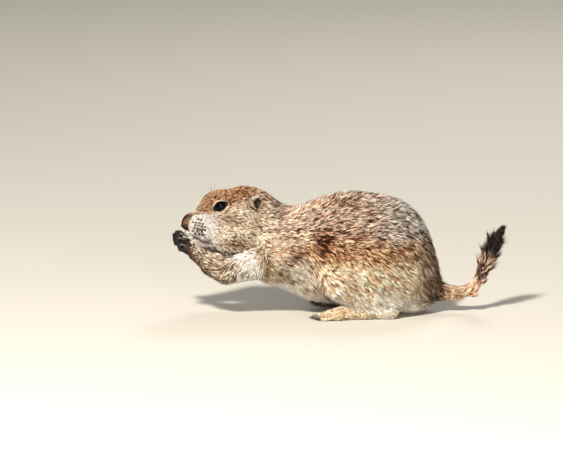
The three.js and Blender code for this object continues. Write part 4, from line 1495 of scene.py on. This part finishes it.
    def hair_colours(self, spines: Array, lays: Array, leader: Array) -> Array:
        """The colours of each spine's root, middle and tip."""
        count = len(spines)
        values = in_chunks(self.markings.mixed, spines[:, 0])
        dark, own, pale = values[:, None, :3], values[:, None, 3:6], values[:, None, 6:9]
        chance = self.random.random(count)
        alike = 0.35 + 0.3 * step(lays[:, 0], 6.0, 9.0)
        chance = np.where(self.random.random(count) < alike, chance[leader], chance)
        is_dark = (chance < values[:, 9])[:, None]
        is_pale = (chance > 1.0 - values[:, 10])[:, None]
        plain = np.concatenate([dark * 0.7, own * 0.8, blend(own, pale, 0.25)], axis=1)
        darker = np.concatenate([dark * 0.25, dark * 0.4, blend(dark, own, 0.05)], axis=1)
        paler = np.concatenate([dark, blend(own, pale, 0.8), pale * 1.25], axis=1)
        colours = np.where(is_dark[:, :, None], darker, plain)
        colours = np.where(is_pale[:, :, None], paler, colours)
        tone = self.random.normal(1.0, self.tone_spread, (count, 1, 1))
        colours = np.clip(colours * tone, 0.0, 1.0)
        flat = TURN.straight(spines.reshape(-1, 3))
        spots = self.markings.whisker_spots(TURN.straight(spines[:, 1]))[:, None, None]
        edge, ring = self.markings.eye_rings(flat)
        colours = blend(colours, linear("#fff1d8"), ring.reshape(count, 3, 1) * 0.4)
        colours = blend(colours, linear("#0d0705"), spots)
        return blend(colours, linear("#0d0806"), edge.reshape(count, 3, 1))

    def solid(self, spines: Array, normals: Array, lays: Array) -> tuple[Array, Array, Array]:
        """Makes closed three-sided spikes round spines.

        Args:
            spines: root, middle and tip of each.
            normals: the outward way at each root.
            lays: the hair's sizes.

        Returns:
            Seven vertices for each spine, the ten triangles of one spike as indices of them, and for
            each triangle corner its place across and along the spike, from 0 to 1.
        """
        along = unit(spines[:, 2] - spines[:, 0])
        across = unit(np.cross(along, normals))
        outward = np.cross(across, along)
        half = (lays[:, 1] * self.random.uniform(*self.width_range, len(spines)) / 2.0)[:, None]
        rings = []
        for place, share in ((0, self.root_width), (1, 1.0)):
            for angle in self.corner_angles:
                c, s = math.cos(math.radians(angle)), math.sin(math.radians(angle))
                rings.append(spines[:, place] + half * share * (c * across + self.thickness * s * outward))
        vertices = np.stack([*rings, spines[:, 2]], axis=1)
        faces, flat = [(0, 2, 1)], [((0, 0), (1, 0), (0.5, 0))]
        for i in range(3):
            j = (i + 1) % 3
            low, high = i / 3.0, (i + 1) / 3.0
            faces.append((i, j, 3 + j))
            flat.append(((low, 0), (high, 0), (high, 0.5)))
            faces.append((i, 3 + j, 3 + i))
            flat.append(((low, 0), (high, 0.5), (low, 0.5)))
            faces.append((3 + i, 3 + j, 6))
            flat.append(((low, 0.5), (high, 0.5), ((low + high) / 2.0, 1)))
        return vertices, np.array(faces), np.array(flat, float)

    def build(self, skin: bpy.types.Mesh) -> list[bpy.types.Object]:
        """Makes every piece of the coat."""
        roots, normals, owners, lays = self.roots(skin)
        LOG.info("coat: %d roots", len(roots))
        spines, leader = self.spines(roots, normals, lays)
        LOG.info("coat: spines laid")
        colours = self.hair_colours(spines, lays, leader)
        pieces = []
        for index, zone in enumerate(Zone):
            own = owners == index
            vertices, faces, flat = self.solid(spines[own], normals[own], lays[own])
            places = self.unwrap(zone, roots[own])
            uv = places[:, None, None, :] + (flat[None] - np.array([0.5, 0.0])) * self.map_patch
            triangles = faces[None] + vertices.shape[1] * np.arange(len(vertices))[:, None, None]
            mesh = triangle_mesh("coat_" + zone.name.lower(), vertices, triangles)
            pieces.append(self.piece(mesh, colours[own][:, self.spine_of_vertex], uv))
        return pieces

    def piece(self, mesh: bpy.types.Mesh, tint: Array, uv: Array) -> bpy.types.Object:
        """Makes a piece of the joined spikes, with their colours and their map."""
        mesh.shade_smooth()
        layer = mesh.uv_layers.new(name="OFBake")
        layer.data.foreach_set("uv", uv.astype(np.float32).ravel())
        paint(mesh, "coat_colour", tint.reshape(-1, 3))
        piece = new_object(mesh.name, mesh)
        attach(piece, "root")
        LOG.info("%s: %d triangles", mesh.name, len(mesh.polygons))
        return piece


class Eyeballs:
    """The two eyes: dark, wet and nearly all iris."""

    cornea_start = 0.72
    cornea_bulge = 1.2

    def __init__(self, body: Body) -> None:
        """Takes the body whose eyes these are."""
        self.body = body

    def build(self) -> list[bpy.types.Object]:
        """Makes both eyes in place of their nodes."""
        eye = self.body.head.eye
        pieces = []
        for side in Side:
            at = TURN.turned_point(mirrored(eye.at, side.value))
            out = eye.axes()[2] * np.array([1.0, side.value, 1.0])
            way = Vector(TURN.sweep @ out).to_track_quat("Z", "Y").to_matrix().to_4x4()
            ball = bmesh.new()
            bmesh.ops.create_uvsphere(ball, u_segments=48, v_segments=32, radius=eye.radius * MM)
            for vertex in ball.verts:
                rise = max(vertex.co.z / (eye.radius * MM) - self.cornea_start, 0.0)
                vertex.co.z += rise * self.cornea_bulge * MM
            bmesh.ops.transform(ball, matrix=Matrix.Translation(Vector(at) * MM) @ way, verts=ball.verts)
            piece = finished(ball, f"eyeball_{side.label}")
            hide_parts(f"eye_{side.label}")
            pieces.append(piece)
        return pieces


@dataclass(frozen=True)
class Claw:
    """A curved, pointed claw."""

    length: float
    radius: float
    bend: float
    rings: int = 9
    sides: int = 12
    height_share: float = 1.15
    width_share: float = 0.8
    taper: float = 0.7

    def middle(self, at: Array, start: Array, across: Array, share: float) -> tuple[Array, Array]:
        """The claw's middle at a share of its length, and the way up across it there."""
        turn = math.radians(self.bend) * share
        arc = self.length / math.radians(self.bend)
        place = at + start * math.sin(turn) * arc - across * (1.0 - math.cos(turn)) * arc
        return place, across * math.cos(turn) + start * math.sin(turn)

    def mesh_into(self, shape: bmesh.types.BMesh, at: Array, start: Array, hinge: Array) -> None:
        """Adds one claw to a mesh.

        Args:
            shape: the mesh that it goes into.
            at: the middle of its root.
            start: the way that it starts out.
            hinge: the axis that it bends about.
        """
        start, hinge = unit(start), unit(hinge)
        across = np.cross(start, hinge)
        before = None
        for ring in range(self.rings):
            share = ring / self.rings
            middle, up = self.middle(at, start, across, share)
            width = self.radius * (1.0 - share) ** self.taper
            places = []
            for angle in turns(self.sides):
                high = math.cos(angle) * up * self.height_share
                places.append(middle + width * (high + math.sin(angle) * hinge * self.width_share))
            loop, edges = ring_of(shape, places)
            if before is None:
                shape.faces.new(loop)
            else:
                bmesh.ops.bridge_loops(shape, edges=[*before, *edges])
            before = edges
        point, _ = self.middle(at, start, across, 1.0)
        tip = shape.verts.new(Vector(point) * MM)
        for edge in before:
            shape.faces.new((*edge.verts, tip))
        bmesh.ops.recalc_face_normals(shape, faces=shape.faces)


class Claws:
    """The claws of hands and feet, each set in place of its nodes."""

    hand = Claw(7.2, 1.15, 95.0)
    foot = Claw(7.4, 1.35, -40.0)
    foot_start = np.array([-1.0, 0.0, 0.12])
    hinge = np.array([0.0, 1.0, 0.0])
    sunk = 0.7

    def __init__(self, body: Body) -> None:
        """Takes the body whose claws these are."""
        self.body = body

    def build(self) -> list[bpy.types.Object]:
        """Makes the four sets of claws."""
        pieces = []
        for side in Side:
            mirror = np.array([1.0, side.value, 1.0])
            shape = bmesh.new()
            start = np.array(self.body.hand.claw_start)
            for finger in self.body.hand.fingers:
                root = np.array(finger[2]) + unit(start) * self.body.hand.radii[1] * self.sunk
                at = TURN.turned_point(root * mirror)
                self.hand.mesh_into(shape, at, TURN.sweep @ (start * mirror), TURN.sweep @ self.hinge)
            pieces.append(self.piece(shape, "hand_claw", side, len(self.body.hand.fingers)))
            shape = bmesh.new()
            for toe in self.body.foot.toes:
                ahead = np.array([-self.body.foot.toe_radii[1] * self.sunk, 0.0, 0.5])
                root = np.array(self.body.foot.tip(toe)) + ahead
                self.foot.mesh_into(shape, root * mirror, self.foot_start, self.hinge)
            pieces.append(self.piece(shape, "foot_claw", side, len(self.body.foot.toes)))
        return pieces

    def piece(self, shape: bmesh.types.BMesh, node: str, side: Side, count: int) -> bpy.types.Object:
        """Turns a set of claws into a piece that stands for its nodes."""
        piece = finished(shape, f"{node}s_{side.label}")
        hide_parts(*(f"{node}_{side.label}_{i + 1}" for i in range(count)))
        return piece


class Whiskers:
    """The long stiff hairs of the muzzle and brow."""

    muzzle_hairs = 13
    brow_hairs = 4
    depth = -0.4
    rings = 7
    sides = 4
    droop = np.array([0.10, 0.0, -0.14])
    root_radius = 0.14
    least_radius = 0.02

    def __init__(self, body: Body) -> None:
        """Takes the body whose whiskers these are."""
        self.body = body
        self.random = np.random.default_rng(SEED + 1)

    def sprouts(self) -> Iterable[tuple[Array, Array, float]]:
        """Each whisker's place beside the straight head, the way that it starts out, and its length."""
        draw = self.random.uniform
        for side in Side:
            mirror = np.array([1.0, side.value, 1.0])
            for _ in range(self.muzzle_hairs):
                root = np.array([draw(-130, -119), 9.0, draw(71, 79)])
                way = np.array([draw(-0.5, 0.35), 1.0, draw(-0.35, 0.35)])
                yield root * mirror, way * mirror, draw(16, 27)
            for _ in range(self.brow_hairs):
                root = np.array([draw(-112, -106), 11.0, draw(104, 107)])
                way = np.array([draw(-0.7, 0.0), 0.5, 0.9])
                yield root * mirror, way * mirror, draw(9, 14)

    def build(self) -> bpy.types.Object:
        """Makes all the whiskers as one piece."""
        roots, ways, lengths = zip(*self.sprouts())
        places = settle(self.body.skin, TURN.turned(np.array(roots)), self.depth, 6)
        shape = bmesh.new()
        for at, way, length in zip(places, ways, lengths):
            self.hair(shape, at, unit(TURN.sweep @ way), length)
        return finished(shape, "whiskers")

    def hair(self, shape: bmesh.types.BMesh, at: Array, start: Array, length: float) -> None:
        """Adds one drooping tapered hair that starts on the skin."""
        before = None
        for ring in range(self.rings + 1):
            share = ring / self.rings
            middle = at + start * length * share + self.droop * length * share * share
            width = self.root_radius * (1.0 - share) + self.least_radius
            ways = [np.array([math.cos(angle), 0.0, math.sin(angle)]) for angle in turns(self.sides)]
            loop, edges = ring_of(shape, [middle + way * width for way in ways])
            if before is None or ring == self.rings:
                shape.faces.new(loop)
            if before is not None:
                bmesh.ops.bridge_loops(shape, edges=[*before, *edges])
            before = edges


# Finishes.


def group_of(name: str, inputs: dict[str, str], outputs: dict[str, str]) -> bpy.types.ShaderNodeTree:
    """A new shader group with the given sockets, each a name and a socket type."""
    tree = bpy.data.node_groups.new(name, "ShaderNodeTree")
    for label, kind in inputs.items():
        tree.interface.new_socket(label, in_out="INPUT", socket_type=kind)
    for label, kind in outputs.items():
        tree.interface.new_socket(label, in_out="OUTPUT", socket_type=kind)
    return tree


class GrainGroup:
    """A shared effect: a stored colour made livelier by fine noise, with roughness and height to match."""

    colour = "NodeSocketColor"
    number = "NodeSocketFloat"

    def __init__(self) -> None:
        """Makes the group once for all finishes."""
        given = ("Scale", "Strength", "Roughness")
        inputs = {"Colour": self.colour, **dict.fromkeys(given, self.number)}
        outputs = {"Colour": self.colour, "Roughness": self.number, "Height": self.number}
        self.tree = group_of("grain", inputs, outputs)
        nodes, links = self.tree.nodes, self.tree.links
        entry = nodes.new("NodeGroupInput")
        leave = nodes.new("NodeGroupOutput")
        place = nodes.new("ShaderNodeTexCoord")
        noise = nodes.new("ShaderNodeTexNoise")
        noise.inputs["Detail"].default_value = 4.0
        links.new(place.outputs["Object"], noise.inputs["Vector"])
        links.new(entry.outputs["Scale"], noise.inputs["Scale"])
        spread = self.arithmetic("SUBTRACT", noise.outputs["Fac"], 0.5)
        scaled = self.arithmetic("MULTIPLY", spread, entry.outputs["Strength"])
        gain = self.arithmetic("ADD", scaled, 1.0)
        tinted = nodes.new("ShaderNodeVectorMath")
        tinted.operation = "SCALE"
        links.new(entry.outputs["Colour"], tinted.inputs[0])
        links.new(gain, tinted.inputs["Scale"])
        links.new(tinted.outputs[0], leave.inputs["Colour"])
        links.new(self.arithmetic("ADD", entry.outputs["Roughness"], scaled), leave.inputs["Roughness"])
        links.new(noise.outputs["Fac"], leave.inputs["Height"])

    def arithmetic(self, kind: str, first: Socket, second: Socket | float) -> Socket:
        """Adds a math node for a socket and a second socket or number, and gives its output."""
        node = self.tree.nodes.new("ShaderNodeMath")
        node.operation = kind
        self.tree.links.new(first, node.inputs[0])
        if isinstance(second, float):
            node.inputs[1].default_value = second
        else:
            self.tree.links.new(second, node.inputs[1])
        return node.outputs[0]


@dataclass(frozen=True)
class Finish:
    """A surface whose colour is stored on its mesh or is one colour, with fine grain."""

    name: str
    scale: float
    strength: float
    roughness: float
    bump: float
    specular: float
    attribute: str | None = None
    colour: str | None = None
    bump_distance: float = 0.0002

    def material(self, grain: GrainGroup) -> bpy.types.Material:
        """Makes the finish's material."""
        made = bpy.data.materials.new(self.name)
        made.use_nodes = True
        nodes, links = made.node_tree.nodes, made.node_tree.links
        shader = nodes["Principled BSDF"]
        effect = nodes.new("ShaderNodeGroup")
        effect.node_tree = grain.tree
        effect.inputs["Scale"].default_value = self.scale
        effect.inputs["Strength"].default_value = self.strength
        effect.inputs["Roughness"].default_value = self.roughness
        if self.attribute is None:
            effect.inputs["Colour"].default_value = (*linear(self.colour), 1.0)
        else:
            stored = nodes.new("ShaderNodeAttribute")
            stored.attribute_name = self.attribute
            links.new(stored.outputs["Color"], effect.inputs["Colour"])
        links.new(effect.outputs["Colour"], shader.inputs["Base Color"])
        links.new(effect.outputs["Roughness"], shader.inputs["Roughness"])
        bump = nodes.new("ShaderNodeBump")
        bump.inputs["Strength"].default_value = self.bump
        bump.inputs["Distance"].default_value = self.bump_distance
        links.new(effect.outputs["Height"], bump.inputs["Height"])
        links.new(bump.outputs["Normal"], shader.inputs["Normal"])
        shader.inputs["Specular IOR Level"].default_value = self.specular
        return made


class Finishes:
    """Every finish of the animal."""

    kinds = {
        "coat": Finish(
            "coat_hair", 700, strength=0.25, roughness=0.6, bump=0.0, specular=0.2, attribute="coat_colour"
        ),
        "skin": Finish(
            "bare_skin", 1400, strength=0.3, roughness=0.5, bump=0.5, specular=0.18, attribute="skin_colour"
        ),
        "claw": Finish(
            "claw_horn", 500, strength=0.5, roughness=0.3, bump=0.15, specular=0.6, colour="#3b3029"
        ),
        "eye": Finish(
            "eye_ball", 300, strength=0.05, roughness=0.05, bump=0.0, specular=0.12, colour="#040202"
        ),
        "whisker": Finish(
            "whisker_hair", 300, strength=0.4, roughness=0.4, bump=0.0, specular=0.3, colour="#2a211b"
        ),
    }

    def __init__(self) -> None:
        """Makes the materials."""
        grain = GrainGroup()
        self.materials = {name: finish.material(grain) for name, finish in self.kinds.items()}

    def dress(self, piece: bpy.types.Object, finish: str) -> None:
        """Gives a piece one of the finishes."""
        piece.data.materials.clear()
        piece.data.materials.append(self.materials[finish])


@dataclass(frozen=True)
class Studio:
    """The floor, the light and the camera."""

    aim: Triple = (-0.0504, 0.0, 0.0789)
    elevation: float = 10.0
    distance: float = 7.0
    lens: float = 501.0
    floor_half: float = 6.0
    floor_colour: str = "#c2bcb0"
    lamp_aim: Triple = (0.0, 0.0, 0.05)
    sky_colour: Triple = (0.93, 0.96, 1.0)
    sky_strength: float = 0.27

    def floor(self) -> None:
        """A plain pale floor."""
        shape = bmesh.new()
        bmesh.ops.create_grid(shape, x_segments=1, y_segments=1, size=self.floor_half)
        mesh = bpy.data.meshes.new("floor")
        shape.to_mesh(mesh)
        shape.free()
        piece = new_object("floor", mesh)
        material = bpy.data.materials.new("floor_paper")
        material.use_nodes = True
        shader = material.node_tree.nodes["Principled BSDF"]
        shader.inputs["Base Color"].default_value = (*linear(self.floor_colour), 1.0)
        shader.inputs["Roughness"].default_value = 0.9
        shader.inputs["Specular IOR Level"].default_value = 0.1
        mesh.materials.append(material)

    def lamp(self, name: str, at: Triple, size: float, watts: float, colour: Triple) -> None:
        """A square soft light that faces the animal."""
        light = bpy.data.lights.new(name, "AREA")
        light.size = size
        light.energy = watts
        light.color = colour
        lamp = bpy.data.objects.new(name, light)
        lamp.location = at
        lamp.rotation_euler = (Vector(self.lamp_aim) - Vector(at)).to_track_quat("-Z", "Y").to_euler()
        bpy.context.scene.collection.objects.link(lamp)

    def camera(self) -> None:
        """The camera at the photograph's angle."""
        data = bpy.data.cameras.new("camera")
        data.lens = self.lens
        data.sensor_width = 36.0
        data.clip_end = 100.0
        camera = bpy.data.objects.new("camera", data)
        angle = math.radians(self.elevation)
        back = Vector((0.0, -math.cos(angle), math.sin(angle)))
        camera.location = Vector(self.aim) + back * self.distance
        camera.rotation_euler = (-back).to_track_quat("-Z", "Y").to_euler()
        bpy.context.scene.collection.objects.link(camera)
        bpy.context.scene.camera = camera

    def build(self) -> None:
        """Sets up the whole studio."""
        scene = bpy.context.scene
        scene.view_settings.view_transform = "Standard"
        world = bpy.data.worlds.new("soft_light")
        world.use_nodes = True
        sky = world.node_tree.nodes["Background"]
        sky.inputs["Color"].default_value = (*self.sky_colour, 1.0)
        sky.inputs["Strength"].default_value = self.sky_strength
        scene.world = world
        self.floor()
        self.lamp("key", (-0.6, -1.75, 1.65), 0.26, 116.0, (1.0, 0.965, 0.91))
        self.lamp("fill", (0.5, -2.3, 0.35), 1.0, 34.0, (1.0, 0.94, 0.85))
        self.lamp("rim", (0.5, 1.5, 1.5), 0.7, 16.0, (1.0, 1.0, 1.0))
        self.camera()


FLESH_NODES = (
    *("neck", "chest", "trunk", "rump", "tail_base", "tail_brush", "tail_tip"),
    *("head", "lower_jaw", "nose_pad"),
)
PAIRED_NODES = ("ear", "upper_arm", "forearm", "hand", "thigh", "lower_leg", "foot")


def main() -> None:
    """Builds the animal piece by piece, dresses it and lights it."""
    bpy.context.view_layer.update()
    body = Body()
    markings = Markings(body)
    finishes = Finishes()
    Studio().build()
    piece = Skin(body).build()
    places = vertices_of(piece.data)
    paint(piece.data, "skin_colour", in_chunks(markings.skin, places))
    finishes.dress(piece, "skin")
    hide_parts(*FLESH_NODES, *(f"{name}_{side.label}" for name in PAIRED_NODES for side in Side))
    LOG.info("skin: %d vertices, %d faces", len(piece.data.vertices), len(piece.data.polygons))
    for eyeball in Eyeballs(body).build():
        finishes.dress(eyeball, "eye")
    for claws in Claws(body).build():
        finishes.dress(claws, "claw")
    finishes.dress(Whiskers(body).build(), "whisker")
    LOG.info("eyes, claws and whiskers are in place")
    for part in Coat(body, markings).build(piece.data):
        finishes.dress(part, "coat")


if __name__ == "__main__":
    logging.basicConfig(level=logging.INFO, format="%(relativeCreated)d ms %(message)s")
    main()
